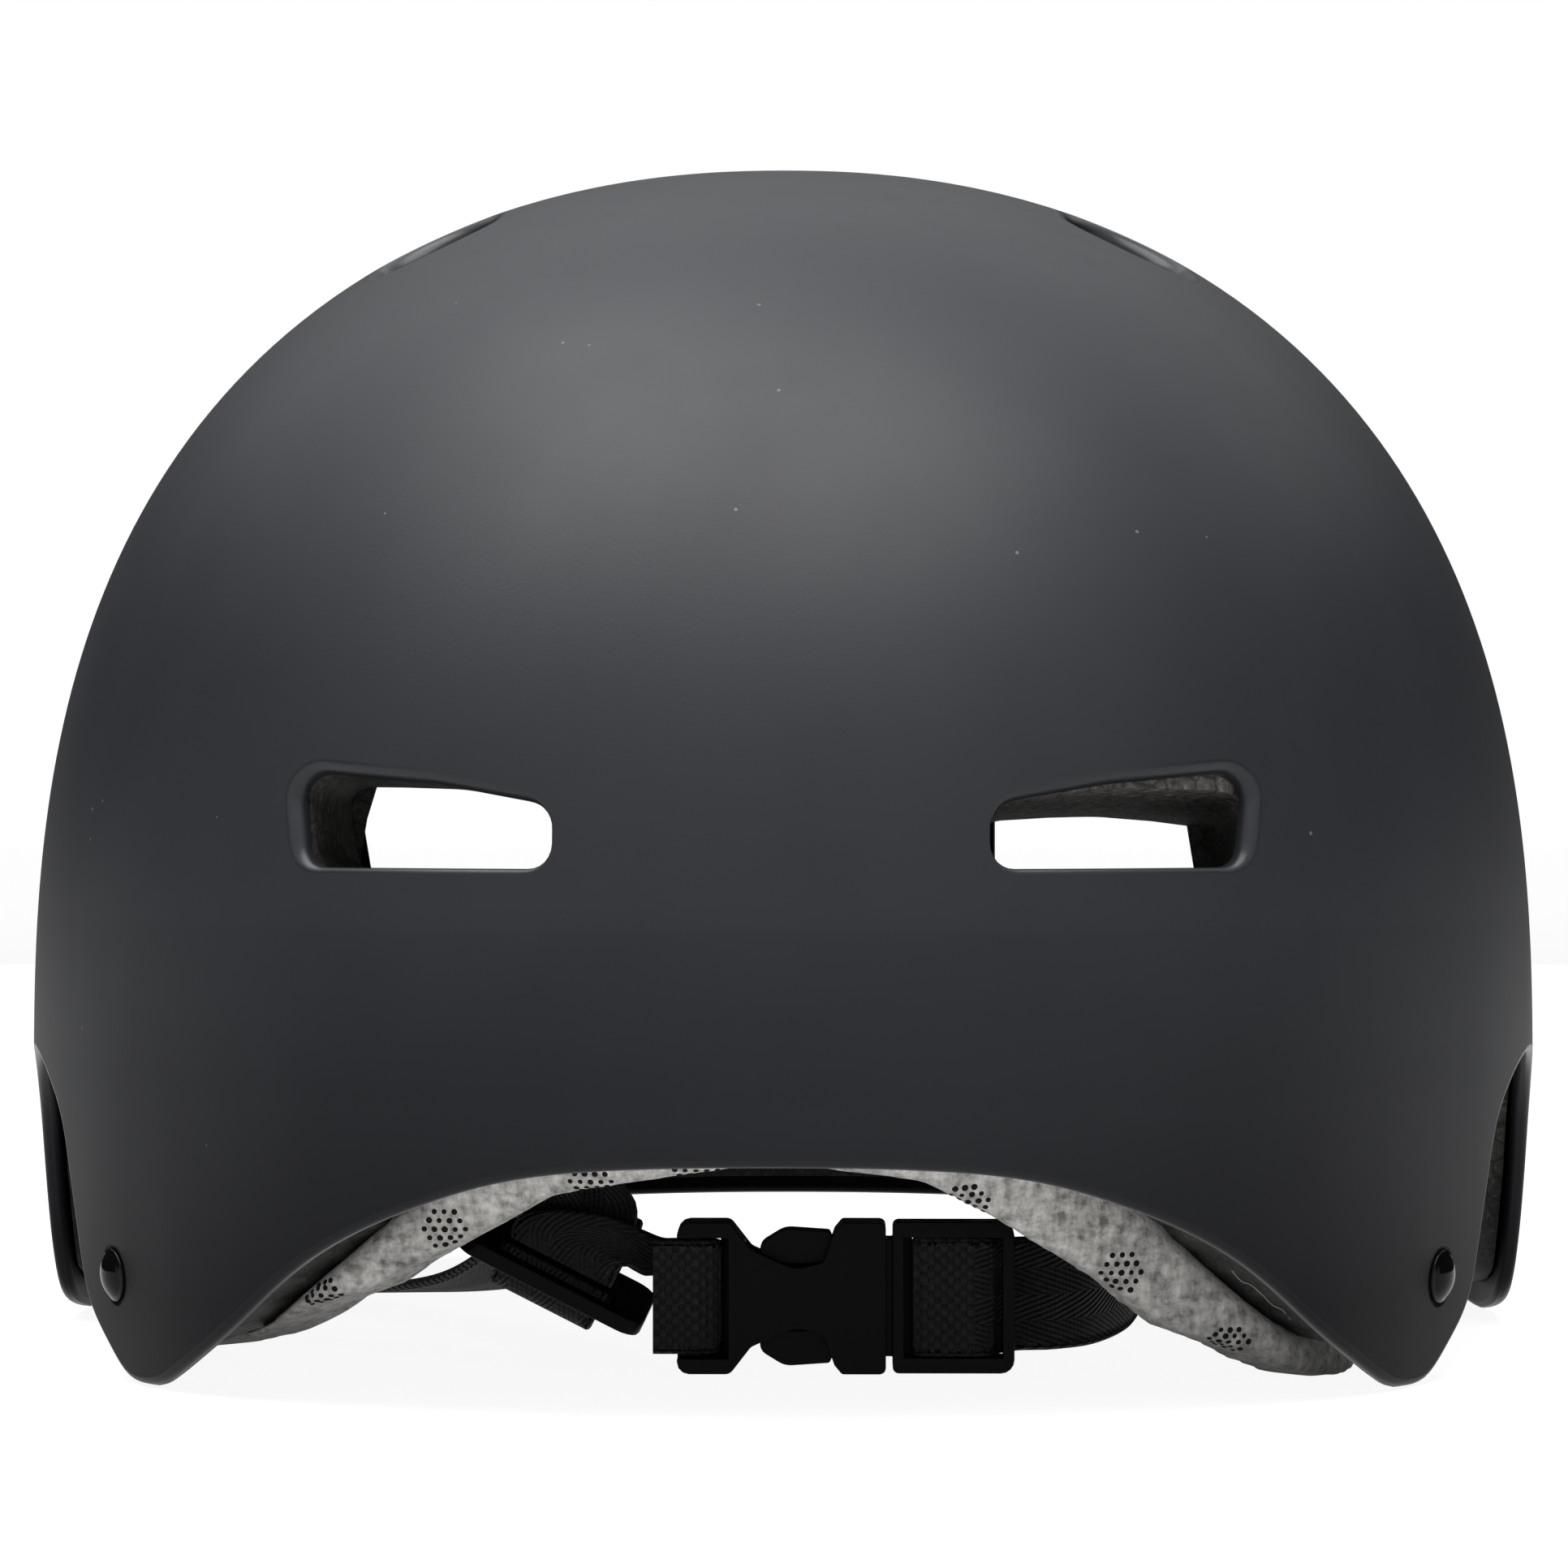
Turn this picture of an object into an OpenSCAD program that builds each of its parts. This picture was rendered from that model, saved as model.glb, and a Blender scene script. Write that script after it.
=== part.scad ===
// Hard-shell bicycle helmet with a foam liner, fit pads and a buckled strap harness.
// Millimetres, +Z up, brow towards -Y. The origin is on the table, under the middle of the shell.

/* [Shell] */
// Width of the shell at its widest
shell_w = 216; // [204:1:230]
// Length of the shell from brow to nape
shell_l = 271; // [258:1:286]
// Height of the crown above the table
shell_h = 167; // [158:1:178]
// Wall of the hard shell
shell_t = 2.4; // [1.8:0.1:3.2]
// Distance from the brow back to the widest section
widest_from_brow = 148; // [140:1:156]
// Height of the brow edge above the table
brow_h = 32.4; // [28:0.5:38]
// Height of the nape edge above the table
nape_h = 10; // [7:0.5:16]
// Height of the ear notch
notch_h = 41; // [34:0.5:46]
// Y of the ear notch's front edge, under its top corner
notch_front_y = -66; // [-72:0.5:-60]
// Y of the ear notch's rear edge
notch_rear_y = -2; // [-8:0.5:4]
// Y of the temple tips, where the shell stands
tip_y = -84; // [-90:0.5:-80]
// Y of the rear feet of the rim, where the shell stands
foot_y = 25; // [18:0.5:34]
// Length of each flat that touches the table
foot_len = 6; // [4:0.5:9]
// How far the rim at the brow leans in below the brow crease
crease = 1.2; // [0:0.1:1.6]

/* [Vents] */
// Inner edge of the brow vents, from the middle
vent_x0 = 26.4; // [22:0.2:30]
// Outer edge of the brow vents, from the middle
vent_x1 = 60.8; // [54:0.2:66]
// Lower edge of the brow vents
vent_z0 = 67.4; // [64:0.2:72]
// Height of the brow vents at the outer end
vent_h_out = 14.2; // [11:0.2:16]
// Height of the brow vents at the inner end
vent_h_in = 9.4; // [7:0.2:12]
// Inner edge of the rear vents, from the middle
rear_vent_x0 = 33; // [28:0.5:38]
// Outer edge of the rear vents, from the middle
rear_vent_x1 = 75; // [68:0.5:80]
// Lower edge of the rear vents
rear_vent_z0 = 61; // [58:0.5:66]
// Height of the rear vents
rear_vent_h = 20; // [14:0.5:24]
// Distance of the crown slots from the middle
slot_x = 48.5; // [44:0.5:54]
// Width of the crown slots
slot_w = 17; // [12:0.5:20]
// Length of the front crown slots
front_slot_l = 28; // [24:1:34]
// Length of the rear crown slots
rear_slot_l = 66; // [48:1:72]
// Gap between the front and the rear crown slots
slot_gap = 16; // [12:1:24]
// Y of the bridge between the front and the rear crown slots
slot_bridge_y = -8; // [-12:1:0]

/* [Liner and pads] */
// Gap between the shell and the foam liner
liner_gap = 0.3; // [0.2:0.1:0.8]
// Thickness of the foam liner
liner_t = 22; // [19:0.5:26]
// How far the liner's rim stays inside the shell's rim
liner_inset = 4; // [3:0.5:6]
// Thickness of the hook-and-loop patches under the pads
patch_t = 1; // [0.6:0.1:1.6]
// Side of the square hook-and-loop patches
patch_w = 16; // [12:0.5:20]
// Thickness of the brow pad at its crown
brow_pad_t = 9; // [7:0.5:11]
// Height of the brow pad's upper edge
brow_pad_top = 58; // [52:0.5:61]
// Thickness of the nape pad at its crown
nape_pad_t = 9; // [6:0.5:11]
// Height of the nape pad's upper edge
nape_pad_top = 54; // [46:0.5:57]
// Thickness of the side pads and the crown pad
small_pad_t = 7; // [5:0.5:9]
// Thickness of every pad at its sewn edge
pad_edge_t = 2.6; // [1.8:0.1:3.4]

/* [Rivets] */
// Diameter of the rivet heads
rivet_d = 7; // [6:0.1:9]
// Height of the domed rivet heads
rivet_dome = 1.7; // [1.2:0.1:2.4]
// Diameter of the rivet shanks
shank_d = 3.6; // [3:0.1:4.2]
// Diameter of the washers under the webbing
washer_d = 11; // [9:0.5:13]
// Thickness of the washers
washer_t = 0.9; // [0.6:0.1:1.4]
// Height of the front rivets above the table
rivet_front_h = 14; // [12:0.5:17]
// Angle of the front rivets round the plan, from the brow
rivet_front_phi = 52.6; // [50:0.2:55]
// Height of the rear rivets above the table
rivet_rear_h = 21; // [18:0.5:25]
// Angle of the rear rivets round the plan, from the brow
rivet_rear_phi = 122; // [118:0.5:128]

/* [Webbing] */
// Width of the webbing
web_w = 15; // [13:0.2:16]
// Thickness of the webbing
web_t = 1.4; // [1:0.1:1.6]
// Clearance between the webbing and hard parts
web_gap = 0.3; // [0.2:0.05:0.5]

/* [Strap sliders] */
// Length of a slider along its slots
slider_l = 27; // [24:0.5:30]
// Width of a slider across its slots
slider_w = 17; // [16:0.5:19]
// Thickness of a slider
slider_t = 2.2; // [1.6:0.1:2.8]
// Width of each slot in a slider
slider_slot = 4.2; // [3.9:0.1:4.6]
// Width of the bar between the slots
slider_bar = 3.6; // [3:0.1:4.2]

/* [Buckle] */
// X of the split between the buckle's halves
split_x = 14.8; // [12:0.2:18]
// Y of the middle of the buckle's thickness
buckle_y = -70; // [-73:0.5:-67]
// Height of the buckle above the table
buckle_lift = 0.4; // [0.3:0.1:1]
// Width of the buckle, which stands on its edge
buckle_w = 20; // [19:0.2:22]
// Thickness of the buckle
buckle_t = 9; // [8:0.2:10]
// Length of the socket half
socket_l = 27.6; // [26:0.2:30]
// Length of the plug half outside the socket
plug_l = 16.1; // [15:0.2:18]
// Gap between the two halves when latched
split_gap = 0.9; // [0.6:0.1:1.4]
// Thickness of the space inside the socket
throat_t = 5.4; // [4.8:0.1:6]
// Clearance of the plug in the socket
plug_fit = 0.2; // [0.15:0.05:0.4]
// Thickness of a latch arm
arm_t = 1.8; // [1.4:0.1:2.2]
// Radius of a latch arm's knuckle
knuckle_r = 1.15; // [1:0.05:1.3]
// Running clearance of a knuckle in its seat
knuckle_fit = 0.05; // [0.03:0.01:0.09]
// Distance of the latch arms from the buckle's middle
arm_off = 5.3; // [5:0.1:5.6]

/* [Hidden] */

// Form of the dome: exponents of the plan and of the crown, and levels of the widest section
plan_n = 2.2;
crown_p = 2.65;
crown_q = 2.18;
side_level = 36;
brow_level = 45;
nape_level = 62;
side_tuck = 0.033;
brow_tuck = 0.02;
nape_tuck = 0.10;
skirt = 6;
crease_z = 60.3;
half_w = shell_w / 2;
shell_cols = 72;
liner_cols = 60;
rows_up = 12;
rows_down = 3;
widest_y = widest_from_brow - shell_l / 2;
liner_out = shell_t + liner_gap;
liner_in = liner_out + liner_t;
seat = 0.55;
pad_out = liner_in + patch_t + 2 * seat;
channel_l = 41;
channel_x = 29.2;
channel_left = [0.857, 0.785];
channel_right = [0.908, 0.53];

// Small vector and curve helpers
function unit(v) = v / norm(v);
function spow(v, e) = sign(v) * pow(abs(v), e);
function mix(a, b, t) = a + (b - a) * t;
function spline(a, b, c, d, t) =
    0.5 * (2 * b + (c - a) * t + (2 * a - 5 * b + 4 * c - d) * t * t + (3 * b - a - 3 * c + d) * t * t * t);
function curve(p, steps) = [
    for (i = [0 : len(p) - 2]) for (k = [0 : steps - 1])
        spline(p[max(i - 1, 0)], p[i], p[i + 1], p[min(i + 2, len(p) - 1)], k / steps),
    p[len(p) - 1]
];

// The dome: phi turns from the brow (0) to the right (90) and the nape (180),
// s rises from -1 under the rim, past 0 at the widest level, to 1 at the crown
function ends(phi, brow, side, nape) = mix(side, cos(phi) >= 0 ? brow : nape, pow(cos(phi), 2));
function level(phi) = ends(phi, brow_level, side_level, nape_level);
function reach(phi) = cos(phi) >= 0 ? widest_from_brow : shell_l - widest_from_brow;
function dome_z(phi, s) = s < 0 ? level(phi) + s * (level(phi) + skirt)
    : level(phi) + (shell_h - level(phi)) * pow(sin(90 * s), 2 / crown_p);
function dome_f(phi, s) = s < 0 ? 1 - ends(phi, brow_tuck, side_tuck, nape_tuck) * s * s
    : pow(cos(90 * s), 2 / crown_q);
function crease_in(phi, s) = crease * max(0, 1 - dome_z(phi, s) / crease_z) * pow(max(0, cos(phi)), 2);
function dome(phi, s) = [
    shell_w / 2 * spow(sin(phi), 2 / plan_n) * dome_f(phi, s),
    widest_y - reach(phi) * spow(cos(phi), 2 / plan_n) * dome_f(phi, s) + crease_in(phi, s),
    dome_z(phi, s)
];
function dome_n(phi, s) = s > 0.995 ? [0, 0, 1]
    : unit(cross(dome(phi + 0.5, s) - dome(phi - 0.5, s), dome(phi, s + 0.004) - dome(phi, s - 0.004)));
function inside(phi, s, depth) = dome(phi, s) - depth * dome_n(phi, s);
function s_at(phi, z) = z < level(phi) ? (z - level(phi)) / (level(phi) + skirt)
    : asin(pow((z - level(phi)) / (shell_h - level(phi)), crown_p / 2)) / 90;

// Side view of the rim, brow to nape, as Y and Z
rim_points = [
    [-shell_l / 2 - 4, brow_h + 0.4], [-shell_l / 2 + 4, brow_h - 1.8], [-shell_l / 2 + 11, brow_h - 6.4],
    [-shell_l / 2 + 20, brow_h - 13.2], [-shell_l / 2 + 32, brow_h - 23.6], [tip_y - 8.5, 2],
    [tip_y - foot_len / 2, 0], [tip_y + foot_len / 2, 0], [mix(tip_y, notch_front_y, 0.5), 4.4],
    [notch_front_y - 3, 10], [notch_front_y - 0.6, 20], [notch_front_y + 3.4, notch_h - 9.5],
    [notch_front_y + 10, notch_h - 4.4], [notch_front_y + 21, notch_h - 0.9],
    [mix(notch_front_y, notch_rear_y, 0.55), notch_h], [notch_rear_y - 14, notch_h - 2.6],
    [notch_rear_y - 4, notch_h - 10], [notch_rear_y - 0.5, 22], [notch_rear_y + 1.5, 9],
    [notch_rear_y + 7, 3], [foot_y - foot_len / 2, 0], [foot_y + foot_len / 2, 0],
    [mix(foot_y, shell_l / 2, 0.45), nape_h * 0.32], [mix(foot_y, shell_l / 2, 0.8), nape_h * 0.78],
    [shell_l / 2 + 4, nape_h + 0.4]
];
rim_curve = [for (p = curve(rim_points, 3)) [p[0], max(0, p[1])]];
rim_below = concat([[-shell_l, -20 - skirt], [-shell_l, rim_points[0][1]]], rim_curve,
                   [[shell_l, rim_points[len(rim_points) - 1][1]], [shell_l, -20 - skirt]]);

module rim_cut(inset) {
    rotate([90, 0, 90]) linear_extrude(2 * shell_w, center = true) offset(delta = inset) polygon(rim_below);
}

// The liner's rim keeps its height on the way inwards
module rim_ring(lift) {
    m = liner_cols * 2;
    heights = [for (p = rim_curve) [p[0], p[1]]];
    top = [for (i = [0 : m - 1]) let (phi = 360 * i / m) lookup(dome(phi, 0)[1], heights) + lift];
    pts = concat(
        [for (i = [0 : m - 1]) let (q = dome(360 * i / m, 0)) [q[0] * 1.1, q[1] * 1.1, top[i]]],
        [for (i = [0 : m - 1]) let (q = dome(360 * i / m, 0)) [q[0] * 0.55, q[1] * 0.55, top[i]]],
        [for (i = [0 : m - 1]) let (q = dome(360 * i / m, 0)) [q[0] * 0.55, q[1] * 0.55, -30]],
        [for (i = [0 : m - 1]) let (q = dome(360 * i / m, 0)) [q[0] * 1.1, q[1] * 1.1, -30]]);
    polyhedron(pts, [for (i = [0 : m - 1]) for (r = [0 : 3]) let (
        a = r * m + i, b = r * m + (i + 1) % m, c = (r + 1) % 4 * m + i, d = (r + 1) % 4 * m + (i + 1) % m)
        each [[a, c, d], [a, d, b]]], convexity = 6);
}

// A closed bowl between two depths under the dome
module bowl(depth0, depth1, cols) {
    ss = concat([for (j = [-rows_down : -1]) j / rows_down],
        [for (j = [0 : rows_up - 1]) pow(j / rows_up, 1.5)]);
    m = len(ss);
    n = m * cols;
    pts = concat([for (s = ss) for (i = [0 : cols - 1]) inside(360 * i / cols, s, depth0)],
                 [for (s = ss) for (i = [0 : cols - 1]) inside(360 * i / cols, s, depth1)],
                 [inside(0, 1, depth0), inside(0, 1, depth1)]);
    faces = [
        for (i = [0 : cols - 1]) let (k = (i + 1) % cols) each concat(
            [for (j = [0 : m - 2]) let (a = j * cols + i, b = j * cols + k) each [
                [a, a + cols, b + cols], [a, b + cols, b],
                [n + a, n + b, n + b + cols], [n + a, n + b + cols, n + a + cols]]],
            [[i, k, n + k], [i, n + k, n + i],
             [n - cols + i, 2 * n, n - cols + k],
             [2 * n - cols + k, 2 * n + 1, 2 * n - cols + i]])
    ];
    polyhedron(pts, faces, convexity = 6);
}

// A closed slab between two grids of points, each a list of rows
module slab(front, back) {
    m = len(front);
    c = len(front[0]);
    n = m * c;
    pts = concat([for (r = front) each r], [for (r = back) each r]);
    skin = [for (j = [0 : m - 2]) for (i = [0 : c - 2]) let (a = j * c + i) each [
        [a, a + c, a + c + 1], [a, a + c + 1, a + 1],
        [n + a, n + a + 1, n + a + c + 1], [n + a, n + a + c + 1, n + a + c]]];
    low = [for (i = [0 : c - 2]) each [[i, i + 1, n + i + 1], [i, n + i + 1, n + i]]];
    high = [for (i = [0 : c - 2]) let (a = n - c + i) each [[a + 1, a, n + a], [a + 1, n + a, n + a + 1]]];
    left = [for (j = [0 : m - 2]) let (a = j * c, d = a + c) each [[d, a, n + a], [d, n + a, n + d]]];
    right = [for (j = [0 : m - 2]) let (b = j * c + c - 1, e = b + c) each [[b, e, n + e], [b, n + e, n + b]]];
    polyhedron(pts, concat(skin, low, high, left, right), convexity = 4);
}

// A rounded polygon: each corner is [x, y, radius]
function corner(a, b, c, n) =
    let (p = [b[0], b[1]], u = unit([a[0], a[1]] - p), v = unit([c[0], c[1]] - p),
         half = acos(u * v) / 2, r = b[2], q = p + unit(u + v) * r / sin(half),
         s = q - r * [-u[1], u[0]] * sign(cross(concat(u, 0), concat(v, 0))[2]) * -1,
         a0 = atan2((p + u * r / tan(half) - q)[1], (p + u * r / tan(half) - q)[0]),
         a1 = atan2((p + v * r / tan(half) - q)[1], (p + v * r / tan(half) - q)[0]),
         da = a1 - a0 > 180 ? a1 - a0 - 360 : a1 - a0 < -180 ? a1 - a0 + 360 : a1 - a0)
    [for (k = [0 : n]) q + r * [cos(a0 + da * k / n), sin(a0 + da * k / n)]];
function rounded(p, n) = [
    for (i = [0 : len(p) - 1]) each corner(p[(i + len(p) - 1) % len(p)], p[i], p[(i + 1) % len(p)], n)
];

// Vents, each a prism through the wall
vent_shape = rounded([[vent_x0, vent_z0, 2.5], [vent_x1 - 1.4, vent_z0, 2.5],
                      [vent_x1, vent_z0 + vent_h_out, 3], [mix(vent_x0, vent_x1, 0.45),
                      vent_z0 + mix(vent_h_in, vent_h_out, 0.62), 30], [vent_x0, vent_z0 + vent_h_in, 3]], 4);
rear_vent_shape = rounded([[rear_vent_x0, rear_vent_z0, 4], [rear_vent_x1 - 3, rear_vent_z0, 4],
                           [rear_vent_x1, rear_vent_z0 + rear_vent_h, 5],
                           [rear_vent_x0, rear_vent_z0 + rear_vent_h - 2, 5]], 4);

module both_sides() {
    children();
    mirror([1, 0, 0]) children();
}

module slot_prism(length, grow) {
    w = slot_w + 2 * grow;
    l = length + 2 * grow;
    linear_extrude(shell_h) {
        translate([-w / 2, -l / 2 + w / 2]) square([w, l - w]);
        translate([0, l / 2 - w / 2]) circle(d = w, $fn = 24);
        translate([0, -l / 2 + w / 2]) circle(d = w, $fn = 24);
    }
}

module vent_cuts(grow) {
    both_sides() {
        translate([0, widest_y + 40 + shell_l, 0]) rotate([90, 0, 0]) linear_extrude(shell_l)
            offset(delta = grow) polygon(rear_vent_shape);
        translate([slot_x, slot_bridge_y - (front_slot_l + slot_gap) / 2, shell_h * 0.6])
            slot_prism(front_slot_l, grow);
        translate([slot_x, slot_bridge_y + (rear_slot_l + slot_gap) / 2, shell_h * 0.6])
            slot_prism(rear_slot_l, grow);
    }
}

// Brow vents: straight through the shell, narrowing through the foam, lower on the right
module brow_vent_cuts() {
    both_sides() translate([0, widest_y - 40, 0]) rotate([90, 0, 0]) linear_extrude(shell_l)
        polygon(vent_shape);
}

module brow_channel(narrow) {
    back = liner_in + 30;
    translate([channel_x, -shell_l / 2 - 4, vent_z0]) rotate([-90, 0, 0])
        linear_extrude(back, scale = [for (k = [0, 1]) mix(1, narrow[k], back / channel_l)])
        translate([-channel_x, vent_z0]) mirror([0, 1]) offset(delta = 0.8) polygon(vent_shape);
}

// A frame that stands on the dome: X along the shell, Y up the shell, Z outwards
module on_dome(phi, z) {
    s = s_at(phi, z);
    p = dome(phi, s);
    n = dome_n(phi, s);
    h = unit(cross([0, 0, 1], n));
    u = cross(n, h);
    multmatrix([[h[0], u[0], n[0], p[0]], [h[1], u[1], n[1], p[1]], [h[2], u[2], n[2], p[2]], [0, 0, 0, 1]])
        children();
}

rivets = [[-rivet_front_phi, rivet_front_h], [rivet_front_phi, rivet_front_h],
          [-rivet_rear_phi, rivet_rear_h], [rivet_rear_phi, rivet_rear_h]];
spot_depth = 0.35;
anchor_gap = 1;
web_depth = shell_t + anchor_gap;
washer_depth = web_depth + web_t + 0.3;
recess_w = web_w + 3;
recess_depth = washer_depth + washer_t + 3.2 - liner_out;

// Hard shell
module outer_shell() {
    color([0.2, 0.2, 0.22]) difference() {
        bowl(0, shell_t, shell_cols);
        rim_cut(0);
        vent_cuts(0);
        brow_vent_cuts();
        for (r = rivets) on_dome(r[0], r[1]) {
            translate([0, 0, -spot_depth]) cylinder(h = 4, d = rivet_d + 0.6, $fn = 40);
            translate([0, 0, -shell_t - 2]) cylinder(h = 6, d = shank_d + 0.2, $fn = 32);
        }
    }
}

// Foam liner, with the vent channels and a pocket behind each rivet
module foam_liner() {
    color([0.13, 0.13, 0.13]) difference() {
        bowl(liner_out, liner_in, liner_cols);
        rim_cut(liner_inset);
        rim_ring(liner_inset);
        vent_cuts(0.8);
        brow_channel(channel_right);
        mirror([1, 0, 0]) brow_channel(channel_left);
        for (r = rivets) on_dome(r[0], r[1]) {
            translate([-recess_w / 2, -40, -liner_out - recess_depth])
                cube([recess_w, 40 + recess_w / 2, recess_depth + 4]);
            if (abs(r[0]) < 90) translate([r[0] < 0 ? -40 : -12, -recess_w / 2 - 9, -liner_out - recess_depth])
                cube([52, recess_w + 10, recess_depth + 4]);
        }
    }
}

// Pads: a crowned cushion on the liner between two angles and two height functions
function crowned(u, v, t) = mix(pad_edge_t, t, pow(1 - pow(abs(2 * u - 1), 8), 0.6)
                                               * pow(1 - pow(abs(2 * v - 1), 3.5), 0.6));
module pad(phi0, phi1, low, high, t, cols, rows, fill = [[0, 1]]) {
    grid = [for (j = [0 : rows]) [for (i = [0 : cols]) let (
        u = i / cols, v = j / rows, phi = mix(phi0, phi1, u),
        round_in = 1 - 0.35 * pow(abs(2 * u - 1), 10),
        z = mix(lookup(phi, low), lookup(phi, high), 0.5 + (v - 0.5) * round_in),
        full = t * lookup(phi, fill), thick = crowned(u, v, full))
        [phi, s_at(phi, z), thick, 0.25 * (full - thick)]]];
    slab([for (r = grid) [for (g = r) inside(g[0], g[1], pad_out + g[3])]],
         [for (r = grid) [for (g = r) inside(g[0], g[1], pad_out + g[3] + g[2])]]);
}

// Lower edge of the brow pad round the brow: it droops in lobes, more on the right
brow_pad_hem = [[-74, -2], [-66, -2.6], [-58, -1], [-48, 6], [-41, 10.2], [-38, 13.4], [-30, 18.8],
                [-20, 24.6], [0, 28.5], [12, 26], [20, 21.8], [30, 15], [36, 10.2], [41, 8.8], [44, 5.2],
                [50, -2], [58, -4.6], [64, -3.6]];
brow_pad_head = [[-74, brow_pad_top - 16], [-40, brow_pad_top - 3], [0, brow_pad_top],
                 [40, brow_pad_top - 3], [64, brow_pad_top - 16]];

// Share of its thickness round the brow: thinner on the right, clear of the plug's travel
brow_pad_fill = [[-74, 0.8], [-50, 1], [16, 1], [32, 0.38], [40, 0.295], [54, 0.295], [64, 0.4]];

module brow_pad() {
    color([0.55, 0.55, 0.54]) pad(-74, 64, brow_pad_hem, brow_pad_head, brow_pad_t, 46, 10,
        brow_pad_fill);
}

module nape_pad() {
    color([0.55, 0.55, 0.54]) pad(134, 226, [[134, 26], [180, 17], [226, 26]],
        [[134, nape_pad_top - 4], [180, nape_pad_top], [226, nape_pad_top - 4]], nape_pad_t, 26, 8);
}

module side_pad(mirrored) {
    phi = mirrored ? -side_pad_phi : side_pad_phi;
    color([0.55, 0.55, 0.54]) pad(phi - 15, phi + 15,
        [[phi - 15, side_pad_low + 3], [phi, side_pad_low], [phi + 15, side_pad_low + 3]],
        [[phi - 15, side_pad_high - 4], [phi, side_pad_high], [phi + 15, side_pad_high - 4]], small_pad_t, 12, 8);
}

side_pad_phi = 94;
side_pad_low = 0.33 * shell_h;
side_pad_high = 0.527 * shell_h;

// Round cushion under the crown
module crown_pad() {
    cols = 36;
    ss = [0.80, 0.815, 0.84, 0.88, 0.92, 0.96];
    m = len(ss);
    n = m * cols;
    thick = function(s) mix(pad_edge_t, small_pad_t, pow(1 - pow((1 - s) / 0.2, 6), 0.6));
    top = liner_in + seat;
    near = [for (s = ss) for (i = [0 : cols - 1]) inside(360 * i / cols, s, top)];
    far = [for (s = ss) for (i = [0 : cols - 1]) inside(360 * i / cols, s, top + thick(s))];
    pts = concat(near, far, [inside(0, 1, top), inside(0, 1, top + small_pad_t)]);
    faces = [for (i = [0 : cols - 1]) let (k = (i + 1) % cols) each concat(
        [for (j = [0 : m - 2]) let (a = j * cols + i, b = j * cols + k) each [
            [a, a + cols, b + cols], [a, b + cols, b],
            [n + a, n + b, n + b + cols], [n + a, n + b + cols, n + a + cols]]],
        [[i, k, n + k], [i, n + k, n + i], [n - cols + i, 2 * n, n - cols + k],
         [2 * n - cols + k, 2 * n + 1, 2 * n - cols + i]])];
    color([0.55, 0.55, 0.54]) polyhedron(pts, faces, convexity = 4);
}

// Hook-and-loop patches between the liner and the pads, as an angle and a height each
patch_places = concat(
    [for (p = [[-62, 0.52], [-34, 0.69], [-10, 0.775], [12, 0.775], [36, 0.69], [56, 0.55]])
        [p[0], p[1] * brow_pad_top]],
    [for (phi = [150, 180, 210]) [phi, nape_pad_top * 0.667]],
    [for (phi = [side_pad_phi, -side_pad_phi]) [phi, (side_pad_low + side_pad_high) / 2]]
);

module pad_patch(phi, z) {
    half = patch_w / 2;
    turn = half / (shell_w / 2 - liner_in) * 180 / PI * 0.9;
    grid = [for (j = [-1 : 0.5 : 1]) [for (i = [-2 : 2]) [phi + turn * i / 2, s_at(phi + turn * i / 2, z + half * j)]]];
    slab([for (r = grid) [for (g = r) inside(g[0], g[1], liner_in + seat)]],
         [for (r = grid) [for (g = r) inside(g[0], g[1], liner_in + seat + patch_t)]]);
}

module pad_patches() {
    color([0.08, 0.08, 0.08]) for (p = patch_places) pad_patch(p[0], p[1]);
}

// Rivet: domed head outside, shank through the shell, the webbing and the washer, clinched tail
module rivet(r) {
    tail_depth = washer_depth + washer_t + 0.1;
    color([0.05, 0.05, 0.05]) on_dome(r[0], r[1]) {
        ball = (pow(rivet_d / 2, 2) + pow(rivet_dome, 2)) / (2 * rivet_dome);
        rotate_extrude($fn = 48) union() {
            polygon(concat([[0, -spot_depth + 0.02]], [[rivet_d / 2, -spot_depth + 0.02], [rivet_d / 2, 0.1]],
                [for (k = [1 : 6]) let (x = rivet_d / 2 * (1 - k / 6))
                    [x, 0.1 + sqrt(ball * ball - x * x) - ball + rivet_dome]]));
            translate([0, -tail_depth]) square([shank_d / 2, tail_depth]);
            translate([0, -tail_depth - 1.2]) square([shank_d / 2 + 1.2, 1.2]);
        }
    }
}

module rivet_washers() {
    color([0.6, 0.6, 0.62]) for (r = rivets) on_dome(r[0], r[1]) translate([0, 0, -washer_depth - washer_t])
        difference() {
            cylinder(h = washer_t, d = washer_d, $fn = 40);
            translate([0, 0, -1]) cylinder(h = washer_t + 2, d = shank_d + 0.2, $fn = 32);
        }
}

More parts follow.
